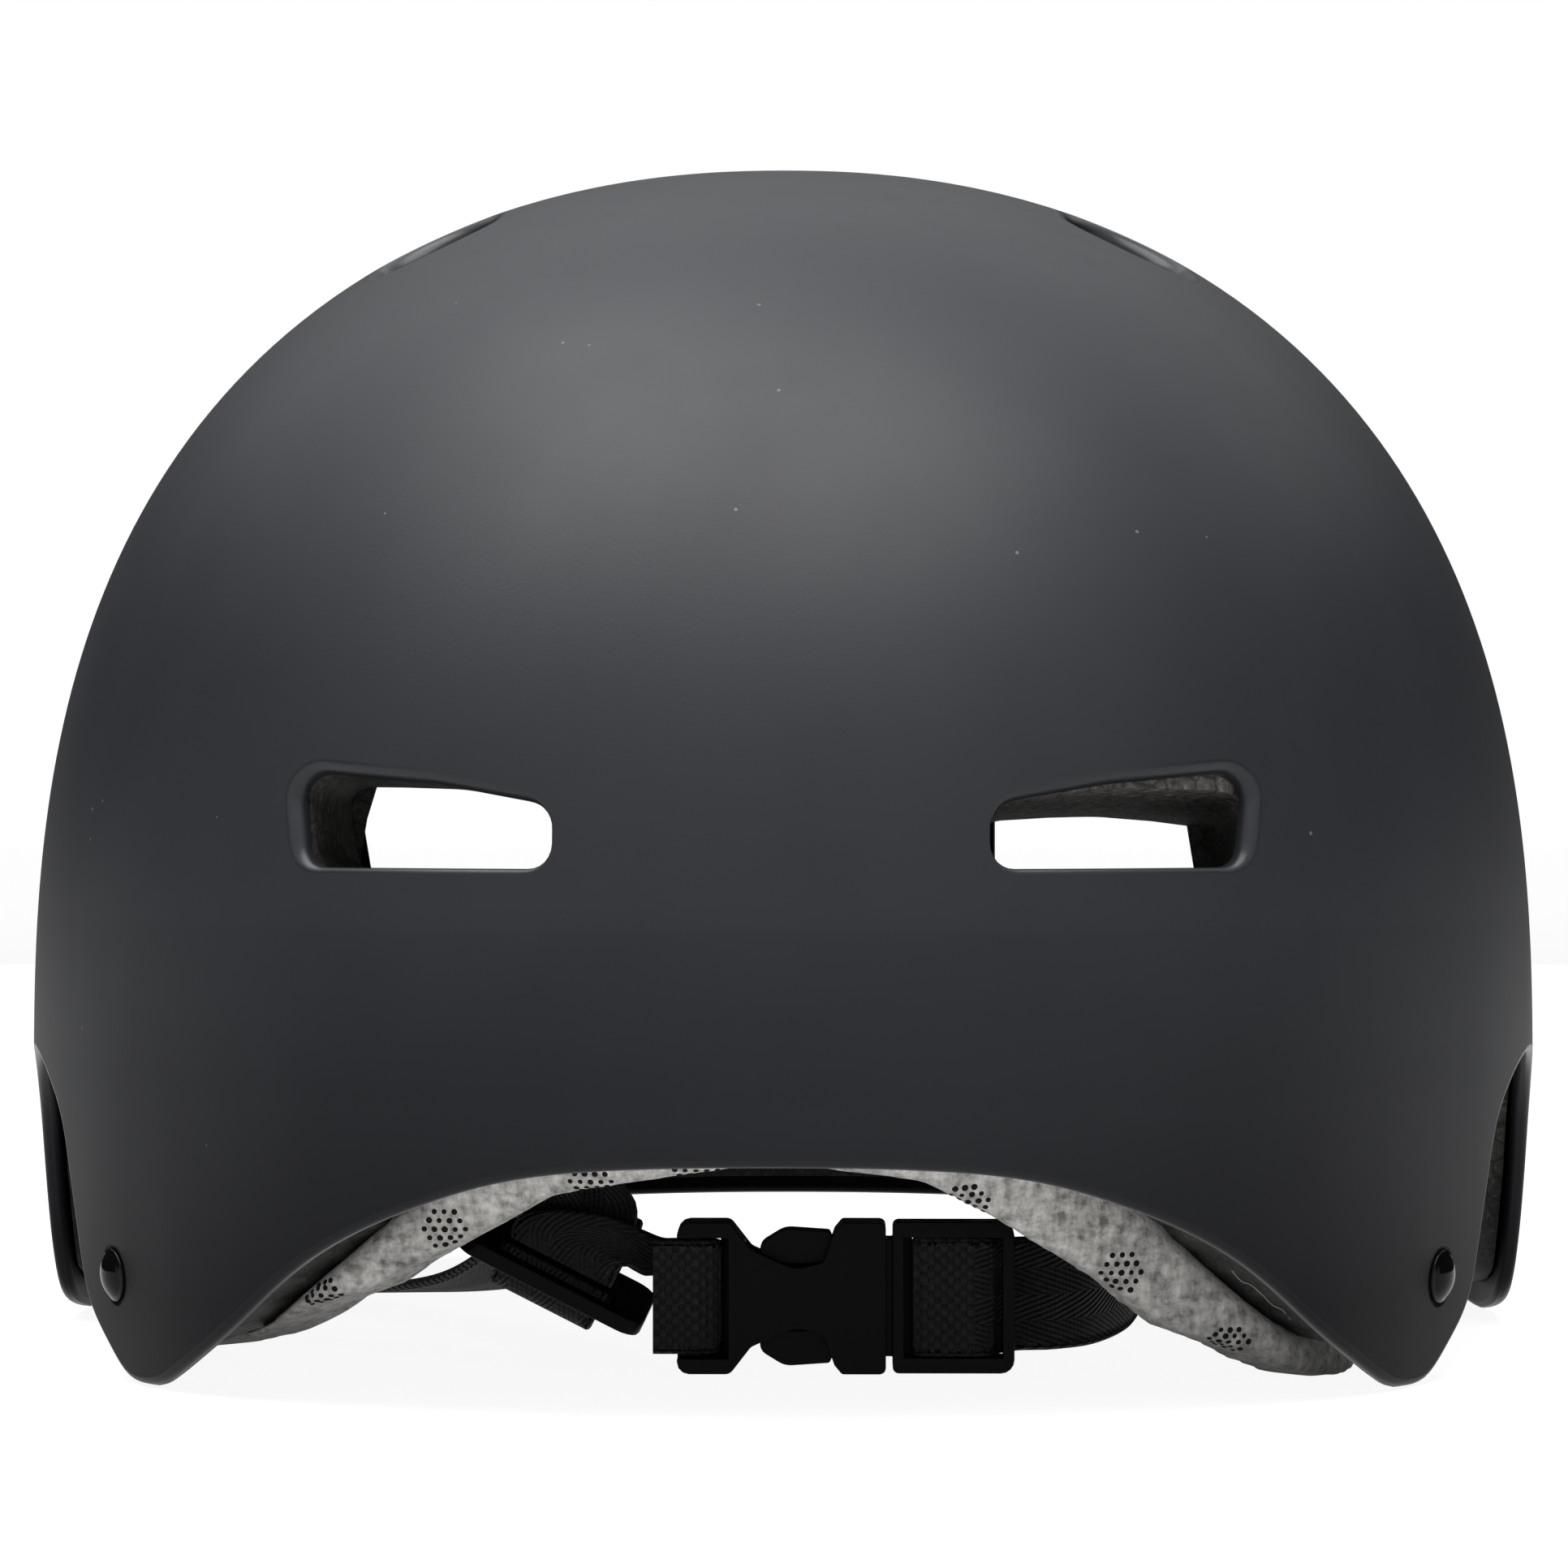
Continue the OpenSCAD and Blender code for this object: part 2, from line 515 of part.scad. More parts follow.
// Webbing along stations of [place, direction of its width, width where it is pinched]
function web_path(stations, steps) = [
    curve([for (q = stations) q[0]], steps),
    curve([for (q = stations) unit(q[1])], steps),
    curve([for (q = stations) len(q) > 2 ? q[2] : web_w], steps)
];
module web(stations, steps, sheared = false) {
    c = web_path(stations, steps);
    last = len(c[0]) - 1;
    rings = [for (i = [0 : last]) let (
        p = c[0][i], t = unit(c[0][min(i + 1, last)] - c[0][max(i - 1, 0)]),
        w = unit(sheared ? c[1][i] : c[1][i] - (c[1][i] * t) * t),
        x = w * c[2][i] / 2, y = unit(cross(t, w)) * web_t / 2)
        each [p + x + y, p - x + y, p - x - y, p + x - y]];
    sides = [for (i = [0 : last - 1]) for (e = [0 : 3]) let (a = 4 * i + e, b = 4 * i + (e + 1) % 4) each [
        [b, a, a + 4], [b, a + 4, b + 4]]];
    caps = [[0, 1, 2], [0, 2, 3], [4 * last + 3, 4 * last + 2, 4 * last + 1],
            [4 * last + 3, 4 * last + 1, 4 * last]];
    polyhedron(rings, concat(sides, caps), convexity = 8);
}

// Buckle: sizes shared by both halves, measured from its middle
buckle_z = buckle_lift + buckle_w / 2;
socket_x0 = split_x - split_gap / 2 - socket_l;
socket_x1 = split_x - split_gap / 2;
plug_x0 = split_x + split_gap / 2;
plug_x1 = plug_x0 + plug_l;
throat_w = buckle_w - 4;
web_slot = web_w + 0.9;
bar_w = 3.2;
bar_t = 3.4;
end_slot = 3.6;
ledge = 1.15;
ledge_y = 2.2;
window_x0 = socket_x1 - 17.2;
window_x1 = socket_x1 - 6.8;
hinge_x = socket_x1 - 3;

module buckle_place() {
    translate([0, buckle_y, buckle_z]) rotate([90, 0, 0]) children();
}

// Socket half, with its throat, the two side windows and the webbing bar
module buckle_socket() {
    half = buckle_w / 2;
    dip = half - 6.2;
    top = [[socket_x0, half, 1.6], [socket_x0 + 7, half, 1.2], [window_x0 - 0.6, half - 3.6, 1.4],
           [window_x0 + 5.2, dip, 4], [window_x1 - 1.4, dip + 1, 1], [window_x1, half - 1.2, 0.4],
           [window_x1 + 1, half, 0.6], [socket_x1, half, 0.8]];
    outline = concat(top, [for (i = [len(top) - 1 : -1 : 0]) [top[i][0], -top[i][1], top[i][2]]]);
    color([0.06, 0.06, 0.06]) buckle_place() difference() {
        translate([0, 0, -buckle_t / 2]) linear_extrude(buckle_t) polygon(rounded(outline, 3));
        translate([socket_x0 + 9, -throat_w / 2, -throat_t / 2]) cube([socket_l, throat_w, throat_t]);
        translate([socket_x0 + bar_w, -web_slot / 2, -ledge_y]) cube([end_slot, web_slot, buckle_t]);
        translate([socket_x0 + bar_w, -web_slot / 2 + web_gap, -buckle_t])
            cube([end_slot - ledge, web_slot - 2 * web_gap, buckle_t]);
        for (side = [-1, 1]) translate([socket_x0 - 1, -web_slot / 2, side > 0 ? bar_t / 2 : -buckle_t])
            cube([bar_w + 1.5, web_slot, buckle_t - (side > 0 ? 0 : bar_t / 2)]);
    }
}

// Plug half: ladder frame for the webbing, guide block and tongue, seats for the two arms
module buckle_plug() {
    half = buckle_w / 2;
    frame_t = 6.4;
    side = 1.5;
    block_w = throat_w - 2 * plug_fit;
    block_t = throat_t - 2 * plug_fit;
    block_x0 = hinge_x - 1.8;
    color([0.06, 0.06, 0.06]) buckle_place() difference() {
        union() {
            translate([0, 0, -frame_t / 2]) linear_extrude(frame_t) polygon(rounded(
                [[plug_x0, -half, 0.8], [plug_x1, -half, 1.8], [plug_x1, half, 1.8], [plug_x0, half, 0.8]], 4));
            translate([block_x0, -block_w / 2, -block_t / 2]) cube([plug_x0 - block_x0 + 1, block_w, block_t]);
            translate([window_x0 + 1.2, -1.3, -block_t / 2]) cube([block_x0 - window_x0, 2.6, block_t]);
        }
        difference() {
            union() {
                translate([plug_x0 + side, -web_slot / 2, -ledge_y]) cube([plug_l - 2 * side, web_slot, frame_t]);
                translate([plug_x0 + side + ledge, -web_slot / 2 + web_gap, -frame_t])
                    cube([plug_l - 2 * side - ledge, web_slot - 2 * web_gap, frame_t]);
            }
            translate([plug_x0 + plug_l / 2 - ladder_w / 2, -half, -ladder_t / 2])
                cube([ladder_w, buckle_w, ladder_t]);
        }
        translate([plug_x1 - side - 0.5, -web_slot / 2, -frame_t]) cube([side + 2, web_slot, frame_t - 0.9]);
        for (s = [-1, 1]) translate([hinge_x, s * arm_off, -throat_t]) {
            cylinder(h = 2 * throat_t, r = knuckle_r + knuckle_fit, $fn = 32);
            translate([-4, -knuckle_r - knuckle_fit, 0]) cube([4, 2 * (knuckle_r + knuckle_fit), 2 * throat_t]);
        }
    }
}
ladder_w = 6.4;
ladder_t = 2.6;

// Latch arm: knuckle at its root, thin arm, and a head that catches the window's end
module latch_arm(side) {
    half = buckle_w / 2;
    arm_len = throat_t - 2 * plug_fit - 0.3;
    head_x0 = window_x0 + 0.4;
    head_x1 = window_x1 - 0.15;
    head = rounded([[head_x1, arm_off - arm_t / 2, 0.3], [head_x1, throat_w / 2 - 0.4, 0.5],
                    [head_x1 - 0.5, half - 1.3, 0.4],
                    [mix(head_x0, head_x1, 0.35), half - 0.9, 3], [head_x0, half - 3, 1.6],
                    [head_x0 + 0.4, arm_off - arm_t / 2, 0.8]], 4);
    color([0.06, 0.06, 0.06]) buckle_place() scale([1, side, 1]) translate([0, 0, -arm_len / 2]) {
        translate([hinge_x, arm_off, 0]) cylinder(h = arm_len, r = knuckle_r, $fn = 32);
        translate([head_x1 - 1, arm_off - arm_t / 2, 0]) cube([hinge_x - head_x1 + 1, arm_t, arm_len]);
        linear_extrude(arm_len) polygon(head);
    }
}

// Strap sliders: a frame is [place, along the slots, across the slots]
tilt = 27;
lean = 12;
slider_left = [[-29.5, buckle_y + 4, buckle_lift + 13], [cos(tilt), 0, -sin(tilt)],
               [sin(tilt) * sin(lean), cos(lean), cos(tilt) * sin(lean)]];
slider_right = [[half_w - 48, 22, buckle_lift + slider_l / 2 + 0.4], [0, 0, 1], unit([0.64, 0.77, 0])];
function at(f, q) = f[0] + q[0] * f[1] + q[1] * f[2] + q[2] * cross(f[1], f[2]);
slot_mid = slider_bar / 2 + slider_slot / 2;

module strap_slider(f) {
    w = cross(f[1], f[2]);
    color([0.06, 0.06, 0.06])
        multmatrix([[f[1][0], f[2][0], w[0], f[0][0]], [f[1][1], f[2][1], w[1], f[0][1]],
                    [f[1][2], f[2][2], w[2], f[0][2]], [0, 0, 0, 1]])
        translate([0, 0, -slider_t / 2]) difference() {
            linear_extrude(slider_t) polygon(rounded([[-slider_l / 2, -slider_w / 2, 3],
                [slider_l / 2, -slider_w / 2, 3], [slider_l / 2, slider_w / 2, 3],
                [-slider_l / 2, slider_w / 2, 3]], 5));
            for (s = [-1, 1]) translate([-web_w / 2 - 1, s * slot_mid - slider_slot / 2, -1])
                cube([web_w + 2, slider_slot, slider_t + 2]);
        }
}

// Webbing held by a rivet, laid on the inside of the shell and turned from straight down
function anchored(r, turn, after) =
    let (n = dome_n(r[0], s_at(r[0], r[1])), h = unit(cross([0, 0, 1], n)), u = cross(n, h),
         t = cos(turn) * -u + sin(turn) * h, w = cross(n, t),
         p = dome(r[0], s_at(r[0], r[1])) - (web_depth + web_t / 2) * n)
    concat([[p - 7.5 * t, w], [p, w]], [for (q = after) [p + q[0] * t + q[1] * n, w]]);

module anchored_web(r, stations) {
    color([0.1, 0.1, 0.1]) difference() {
        web(stations, 4);
        on_dome(r[0], r[1]) translate([0, 0, -10]) cylinder(h = 20, d = shank_d + 0.3, $fn = 32);
    }
}

// Path under a slider's middle bar, from the far slot round into the near one
inner_lane = slider_bar / 2 + 0.55 + web_t / 2;
outer_lane = inner_lane + web_t + 0.3;
function slider_loop(f) =
    let (mid = (inner_lane - slot_mid) / 2, r = (inner_lane + slot_mid) / 2)
    concat([[at(f, [0, inner_lane, slider_t / 2 + 0.6]), f[1]]],
           [for (k = [0 : 4]) let (a = 45 * k)
               [at(f, [0, mid + r * cos(a), -slider_t / 2 - r * sin(a)]), f[1]]],
           [[at(f, [0, -slot_mid, slider_t / 2 + 0.4]), f[1]]]);
function second_layer(f, side) = [for (c = [slider_t / 2 + 0.6, -slider_t / 2 - 1.6])
    [at(f, [0, outer_lane, side * c]), f[1]]];
upright = [0, 0, 1];

// Left side: both straps run to the slider, the rear one along the table
rear_route_left = [
    [[30 - half_w, 70, 2.4], [-0.7, -0.7, 0]], [[33.5 - half_w, 52, 2.4], [-1, -0.2, 0]],
    [[39 - half_w, 34, 2.6], [-0.94, -0.34, 0]], [[51 - half_w, 15, 3.6], [-0.84, -0.54, 0.04]],
    [[-43, -8, 7], [-0.86, -0.5, 0.08]], [[-33, -30, 13.4], [-0.92, -0.34, 0.18]],
    [[-27.4, -46, 19.4], [-0.93, -0.14, 0.34]]
];
module rear_strap_left() {
    f = slider_left;
    anchored_web(rivets[2], concat(anchored(rivets[2], 0, [[8, 0], [13.4, -1], [17.4, -4]]), rear_route_left,
        [[at(f, [0, 10, 7.8]), -f[1]], [at(f, [0, 6.4, 6.6]), -f[1]], [at(f, [0, outer_lane + 0.4, 4.4]), -f[1]]],
        [for (q = second_layer(f, 1)) [q[0], -q[1]]]));
}

front_route_left = [
    [[18 - half_w, -48, 9.3], -upright], [[19 - half_w, -35, 9.6], -upright],
    [[25 - half_w, -24, 10.6], [0.1, 0.1, -1]], [[36 - half_w, -20, 14], [0.1, 0.4, -0.92]],
    [[49 - half_w, -25, 20], [0.3, 0.55, -0.78]], [[-47, -38, 26.6], [0.55, 0.5, -0.67]],
    [[-38, -48, 30], [0.8, 0.3, -0.52]], [[-31.6, -57.5, 29.4], [0.88, 0.1, -0.46]]
];
module front_strap_left() {
    f = slider_left;
    anchored_web(rivets[0], concat(anchored(rivets[0], -76, [[8, 0], [15, -1]]), front_route_left,
        [[at(f, [-1.2, 3.6, 8.4]), f[1]], [at(f, [0, inner_lane, 4.4]), f[1]]], slider_loop(f)));
}

module chin_strap_left() {
    y0 = buckle_y - bar_t / 2 - web_gap - web_t / 2;
    y1 = buckle_y + bar_t / 2 + web_gap + web_t / 2;
    mid_x = socket_x0 + bar_w - 0.6;
    r = (y1 - y0) / 2;
    color([0.1, 0.1, 0.1]) web(concat(
        [[[socket_x0 - 3.2, y0, buckle_z], upright], [[socket_x0 + 1, y0, buckle_z], upright]],
        [for (a = [-90 : 45 : 90]) [[mid_x + r * cos(a), buckle_y + r * sin(a), buckle_z], upright]],
        [[[socket_x0 - 0.2, y1, buckle_z + 0.1], upright, web_w - 0.3],
         [[socket_x0 - 2.2, y1 - 0.1, buckle_z + 4.5], [-0.1, 0, 1], web_w * 0.42],
         [[socket_x0 - 5.6, y1 - 0.6, buckle_z + 5.9], [-0.25, -0.05, 0.9], web_w * 0.48],
         [[socket_x0 - 9.6, y1 - 2.4, buckle_z + 7.4], [-0.6, -0.05, 0.7], web_w * 0.64]],
        [[at(slider_left, [0, -slot_mid, slider_t / 2 + 4.6]), -slider_left[1]],
         [at(slider_left, [0, -slot_mid, slider_t / 2 + 1.5]), -slider_left[1]]]), 4, true);
}

// Right side: the plug's ladder, back along the table to the slider, and out to both rivets
rear_route_right = [
    [[half_w - 30, 70, 2.4], [-0.7, 0.7, 0]], [[half_w - 33.5, 54, 3], [-0.95, 0.25, 0.1]],
    [[half_w - 38, 44.5, 7], [-0.7, 0.3, 0.65]], [[half_w - 44, 38.5, 11], [-0.1, 0.1, 1]]
];
module rear_strap_right() {
    f = slider_right;
    anchored_web(rivets[3], concat(anchored(rivets[3], 0, [[8, 0], [13.4, -1], [17.4, -4]]), rear_route_right,
        [[at(f, [0, 7.4, 9]), f[1]], [at(f, [0, 4, 7]), f[1]], [at(f, [0, inner_lane, 4]), f[1]]],
        slider_loop(f)));
}

front_route_right = [
    [[half_w - 18, -48, 9.3], upright], [[half_w - 17, -34, 9.6], upright],
    [[half_w - 18, -20, 10], upright], [[half_w - 22, -7.4, 10.4], upright],
    [[half_w - 30.6, 2.6, 11], upright], [[half_w - 36, 12.6, 12.6], upright]
];
module front_strap_right() {
    f = slider_right;
    anchored_web(rivets[1], concat(anchored(rivets[1], 76, [[8, 0], [15, -1]]), front_route_right,
        [[at(f, [0, outer_lane + 1, -5.4]), f[1]]], second_layer(f, -1)));
}

module chin_strap_right() {
    front_y = buckle_y - ladder_t / 2 - web_gap - web_t / 2;
    back_y = buckle_y + ladder_t / 2 + web_gap + web_t / 2;
    mid = plug_x0 + plug_l / 2;
    gap_x = ladder_w / 2 + web_gap + 0.6 + web_t / 2;
    route = [
        [mid + 21.4, back_y + 22], [mid + 18.8, back_y + 12], [mid + 14.6, back_y + 5],
        [mid + 9.4, back_y + 2.5], [mid + 4.6, back_y + 1.9], [mid - ladder_w / 2 + 1, back_y + 0.5],
        [mid - gap_x + 0.5, back_y - 0.6], [mid - gap_x, buckle_y], [mid - gap_x + 0.5, front_y + 0.6],
        [mid - ladder_w / 2 + 0.8, front_y], [mid + ladder_w / 2 - 0.8, front_y],
        [mid + gap_x - 0.5, front_y + 0.6], [mid + gap_x, buckle_y], [mid + gap_x + 1.2, back_y - 0.4],
        [mid + 8.6, back_y + 0.1], [mid + 13.6, back_y + 1.8], [mid + 19, back_y + 8],
        [mid + 24, back_y + 24], [mid + 27, back_y + 48], [mid + 28, back_y + 68]
    ];
    f = slider_right;
    lift = f[0][2] - buckle_z;
    color([0.1, 0.1, 0.1]) web(concat(
        [for (i = [0 : len(route) - 1]) [[route[i][0], route[i][1],
            buckle_z + lift * pow(max(0, i - 15) / 5, 2)], upright]],
        [[at(f, [0, -slot_mid - 2.6, 6]), f[1]], [at(f, [0, -slot_mid, slider_t / 2 + 1.1]), f[1]]]), 4);
}

outer_shell();
foam_liner();
brow_pad();
nape_pad();
side_pad(true);  // side_pad_left
side_pad(false);  // side_pad_right
crown_pad();
pad_patches();
rivet(rivets[0]);  // front_rivet_left
rivet(rivets[1]);  // front_rivet_right
rivet(rivets[2]);  // rear_rivet_left
rivet(rivets[3]);  // rear_rivet_right
rivet_washers();
chin_strap_left();
strap_slider(slider_left);  // strap_slider_left
strap_slider(slider_right);  // strap_slider_right
buckle_socket();
buckle_plug();
latch_arm(1);  // latch_arm_upper
latch_arm(-1);  // latch_arm_lower
front_strap_left();
rear_strap_left();
front_strap_right();
rear_strap_right();
chin_strap_right();
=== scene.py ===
import math

import bpy
import bmesh
import numpy as np
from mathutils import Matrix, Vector, geometry
from mathutils.bvhtree import BVHTree
from mathutils.kdtree import KDTree


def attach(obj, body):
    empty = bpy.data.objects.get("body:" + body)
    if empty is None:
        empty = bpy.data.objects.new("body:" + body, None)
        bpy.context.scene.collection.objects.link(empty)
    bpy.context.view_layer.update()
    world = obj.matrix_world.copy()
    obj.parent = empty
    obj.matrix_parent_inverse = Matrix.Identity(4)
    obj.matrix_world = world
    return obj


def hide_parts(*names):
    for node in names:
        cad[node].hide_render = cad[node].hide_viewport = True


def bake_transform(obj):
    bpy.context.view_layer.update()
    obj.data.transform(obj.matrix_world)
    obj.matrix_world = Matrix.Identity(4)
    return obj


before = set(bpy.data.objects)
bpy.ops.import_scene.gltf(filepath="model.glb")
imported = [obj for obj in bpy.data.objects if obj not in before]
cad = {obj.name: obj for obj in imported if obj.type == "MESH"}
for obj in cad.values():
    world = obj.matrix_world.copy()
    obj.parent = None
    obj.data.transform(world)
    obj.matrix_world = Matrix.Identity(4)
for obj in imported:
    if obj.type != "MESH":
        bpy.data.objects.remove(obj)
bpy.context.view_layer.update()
scene = bpy.context.scene
mm = 0.001
print("frame loaded")


# Node helpers: a value is either a number or another node's output
def give(tree, socket, value):
    if isinstance(value, bpy.types.NodeSocket):
        tree.links.new(value, socket)
    else:
        socket.default_value = value


def addNode(tree, kind, inputs=None, **settings):
    node = tree.nodes.new(kind)
    for key, value in settings.items():
        setattr(node, key, value)
    for key, value in (inputs or {}).items():
        give(tree, node.inputs[key], value)
    return node


def maths(tree, operation, a, b=0.0):
    return addNode(tree, "ShaderNodeMath", {0: a, 1: b}, operation=operation).outputs[0]


# First value plus a share of the second
def plus(tree, a, b, share):
    return maths(tree, "ADD", a, maths(tree, "MULTIPLY", b, share))


def grey(value):
    return (value, value, value, 1)


def ramp(tree, value, stops):
    node = addNode(tree, "ShaderNodeValToRGB", {"Fac": value})
    while len(node.color_ramp.elements) < len(stops):
        node.color_ramp.elements.new(0.5)
    for element, (place, colour) in zip(node.color_ramp.elements, stops):
        element.position = place
        element.color = colour if len(colour) == 4 else (*colour, 1)
    return node.outputs["Color"]


# Rises from nothing at the low value to the top at the high one
def mask(tree, value, low, high, top=1):
    return ramp(tree, value, [(low, grey(0)), (high, grey(top))])


def noise(tree, vector, scale, detail=2.0, rough=0.5, stretch=None):
    if stretch is not None:
        vector = addNode(tree, "ShaderNodeMapping", {"Vector": vector, "Scale": stretch}).outputs[0]
    return addNode(tree, "ShaderNodeTexNoise",
                   {"Vector": vector, "Scale": scale, "Detail": detail, "Roughness": rough}).outputs["Fac"]


def cells(tree, vector, scale, randomness, feature="F1"):
    return addNode(tree, "ShaderNodeTexVoronoi", {"Vector": vector, "Scale": scale, "Randomness": randomness},
                   feature=feature).outputs["Distance"]


# One below the foot height and nothing above the top height
def below(tree, place, top, foot):
    height = addNode(tree, "ShaderNodeSeparateXYZ", {"Vector": place}).outputs[2]
    return addNode(tree, "ShaderNodeMapRange", {"Value": height, "From Min": top, "From Max": foot}).outputs[0]


def bump(tree, height, distance, strength=1.0, under=None):
    inputs = {"Height": height, "Distance": distance, "Strength": strength}
    if under is not None:
        inputs["Normal"] = under
    return addNode(tree, "ShaderNodeBump", inputs).outputs["Normal"]


def mixColour(tree, amount, a, b, blend="MIX"):
    return addNode(tree, "ShaderNodeMix", {0: amount, 6: a, 7: b}, data_type="RGBA", blend_type=blend).outputs[2]


def darken(tree, amount, colour, share):
    return mixColour(tree, amount, colour, mixColour(tree, 1.0, colour, grey(share), "MULTIPLY"))


def newFinish(name):
    material = bpy.data.materials.new(name)
    material.use_nodes = True
    return material, material.node_tree, addNode(material.node_tree, "ShaderNodeTexCoord").outputs["Object"]


def dressed(material, inputs):
    tree = material.node_tree
    for key, value in inputs.items():
        give(tree, tree.nodes["Principled BSDF"].inputs[key], value)
    return material


# Matt charcoal shell: moulded grain, small dust specks, faint smears; the lips are a little glossier. Painted shade
# makes it darker and less shiny below the brow crease and more so towards the rim
def shellPlastic(name, roughness, specular):
    look = {"colour": (0.0108, 0.0117, 0.0146, 1), "worn": (0.0165, 0.0176, 0.021, 1),
            "dust": (0.22, 0.22, 0.23, 1), "dustSize": 0.06, "dustFrom": 0.66, "dustShare": 0.4, "smear": 0.10,
            # The crease, fade and rim heights and the shares below set the painted shade on the lower shell
            "crease": (0.0606, 0.0600), "fade": (0.064, 0.040), "rim": (0.038, 0.012),
            "creaseShadeShare": 0.14, "lowerPaintedShade": 0.74, "rimPaintedShade": 0.55, "lowerShadeShineCut": 0.42, "rimShadeShineCut": 0.3}
    material, tree, place = newFinish(name)
    colour = mixColour(tree, mask(tree, noise(tree, place, 14, 4, 0.6), 0.35, 0.75), look["colour"], look["worn"])
    speck = maths(tree, "MULTIPLY", maths(tree, "LESS_THAN", cells(tree, place, 240, 1.0), look["dustSize"]),
                  maths(tree, "GREATER_THAN", noise(tree, place, 95, 0, 0.5), look["dustFrom"]))
    colour = mixColour(tree, maths(tree, "MULTIPLY", speck, look["dustShare"]), colour, look["dust"])
    smear = maths(tree, "SUBTRACT", noise(tree, place, 60, 3, 0.6, (1, 1, 0.25)), 0.5)
    # Painted shade: below the crease line at about 60 mm the colour darkens and the specular drops, more from 64 mm
    # down to 40 mm, and most towards the rim
    crease = maths(tree, "MULTIPLY", below(tree, place, *look["crease"]), look["creaseShadeShare"])
    lower = plus(tree, crease, below(tree, place, *look["fade"]), 1 - look["creaseShadeShare"])
    low = below(tree, place, *look["rim"])
    colour = darken(tree, low, darken(tree, lower, colour, look["lowerPaintedShade"]), look["rimPaintedShade"])
    shine = plus(tree, specular, lower, -specular * look["lowerShadeShineCut"])
    shine = plus(tree, shine, low, -specular * look["rimShadeShineCut"])
    return dressed(material, {
        "Base Color": colour, "Roughness": plus(tree, roughness, smear, look["smear"]),
        "Normal": bump(tree, noise(tree, place, 2300, 2, 0.6), 0.00003, 0.5), "Specular IOR Level": shine})


# Black bead foam: pressed beads with fine joints, paler where it is rubbed, and darker towards its lower edge near
# the rim as painted shade
def beadFoam():
    look = {"beads": (330, 0.9), "shadeBand": (0.030, 0.018), "shadeBandDepth": 0.3, "edge": 0.09,
            "stops": [(0.3, (0.03, 0.029, 0.027)), (0.58, (0.10, 0.095, 0.086)), (0.75, (0.26, 0.245, 0.22))]}
    material, tree, place = newFinish("beadFoam")
    patch = noise(tree, place, 900, 3, 0.7)
    joints = cells(tree, place, *look["beads"], "DISTANCE_TO_EDGE")
    edge = ramp(tree, joints, [(0.0, grey(0.25)), (look["edge"], grey(1))])
    colour = mixColour(tree, 1.0, ramp(tree, patch, look["stops"]), edge, "MULTIPLY")
    # Painted shade: the foam's colour darkens below about 30 mm, fully from 18 mm down
    colour = darken(tree, below(tree, place, *look["shadeBand"]), colour, look["shadeBandDepth"])
    normal = bump(tree, cells(tree, place, *look["beads"]), 0.0006, -0.6)
    return dressed(material, {"Base Color": colour, "Normal": bump(tree, patch, 0.0002, 0.5, normal),
                              "Roughness": 0.78})


# Heathered knit: pale and dark fibres mixed, with the knit's fine loops
def melangeKnit():
    look = {"stops": [(0.37, (0.17, 0.163, 0.152)), (0.49, (0.45, 0.438, 0.42)), (0.62, (0.74, 0.725, 0.70))],
            "fibres": ((1.0, 1.0, 0.3), (0.35, 1.0, 1.0), (1.0, 0.4, 1.0)), "patches": 0.22}
    material, tree, place = newFinish("melangeKnit")
    a, b, c = [noise(tree, place, 760, 3, 0.65, stretch) for stretch in look["fibres"]]
    mixed = maths(tree, "MULTIPLY", maths(tree, "ADD", maths(tree, "ADD", a, b), c), 0.333)
    patches = maths(tree, "SUBTRACT", noise(tree, place, 60, 2, 0.6), 0.5)
    colour = ramp(tree, plus(tree, mixed, patches, look["patches"]), look["stops"])
    normal = bump(tree, mixed, 0.0005, 0.7)
    normal = bump(tree, cells(tree, place, 1350, 0.7), 0.00025, -0.5, normal)
    return dressed(material, {"Base Color": colour, "Normal": normal, "Roughness": 0.92,
                              "Specular IOR Level": 0.2, "Sheen Weight": 0.25})


# Black webbing, drawn on its own length and width in millimetres: staggered ribs or herringbone, with rib tops
# painted lighter and grooves darker as painted highlight and shade
def webbingFinish(name, herringbone):
    look = {"zig": 3.5, "zigRib": 0.36, "zigThread": 0.31, "rib": 0.85, "ribThread": 0.425,
            # deep is the painted shade of the grooves and high the painted highlight of the rib tops
            "deep": (0.0035, 0.0035, 0.004, 1), "high": (0.02, 0.019, 0.02, 1), "fray": (0.05, 0.047, 0.047, 1)}
    material, tree, place = newFinish(name)
    across = addNode(tree, "ShaderNodeUVMap", uv_map="weave")
    split = addNode(tree, "ShaderNodeSeparateXYZ", {"Vector": across.outputs[0]})
    x, y = split.outputs[0], split.outputs[1]
    if herringbone:
        zig = plus(tree, maths(tree, "PINGPONG", y, look["zig"]), x, look["zigRib"])
        rib = maths(tree, "PINGPONG", zig, look["zigRib"])
        height = plus(tree, maths(tree, "MULTIPLY", rib, 2.2), maths(tree, "PINGPONG", x, look["zigThread"]), 0.5)
    else:
        row = maths(tree, "FLOOR", maths(tree, "DIVIDE", x, look["rib"]))
        rib = maths(tree, "PINGPONG", plus(tree, y, maths(tree, "MODULO", row, 2), look["rib"]), look["rib"])
        height = plus(tree, rib, maths(tree, "PINGPONG", x, look["ribThread"]), 1.5)
    fray = noise(tree, place, 1500, 2, 0.6)
    # Painted highlight and shade: the colour follows the rib height, lighter on the tops and darker in the grooves
    colour = mixColour(tree, mask(tree, height, 0.25, 1.1), look["deep"], look["high"])
    colour = mixColour(tree, mask(tree, fray, 0.5, 0.72, 0.35), colour, look["fray"])
    normal = bump(tree, fray, 0.0001, 0.5, bump(tree, height, 0.00045))
    return dressed(material, {"Base Color": colour, "Normal": normal, "Roughness": 0.72,
                              "Specular IOR Level": 0.2, "Sheen Weight": 0.1})


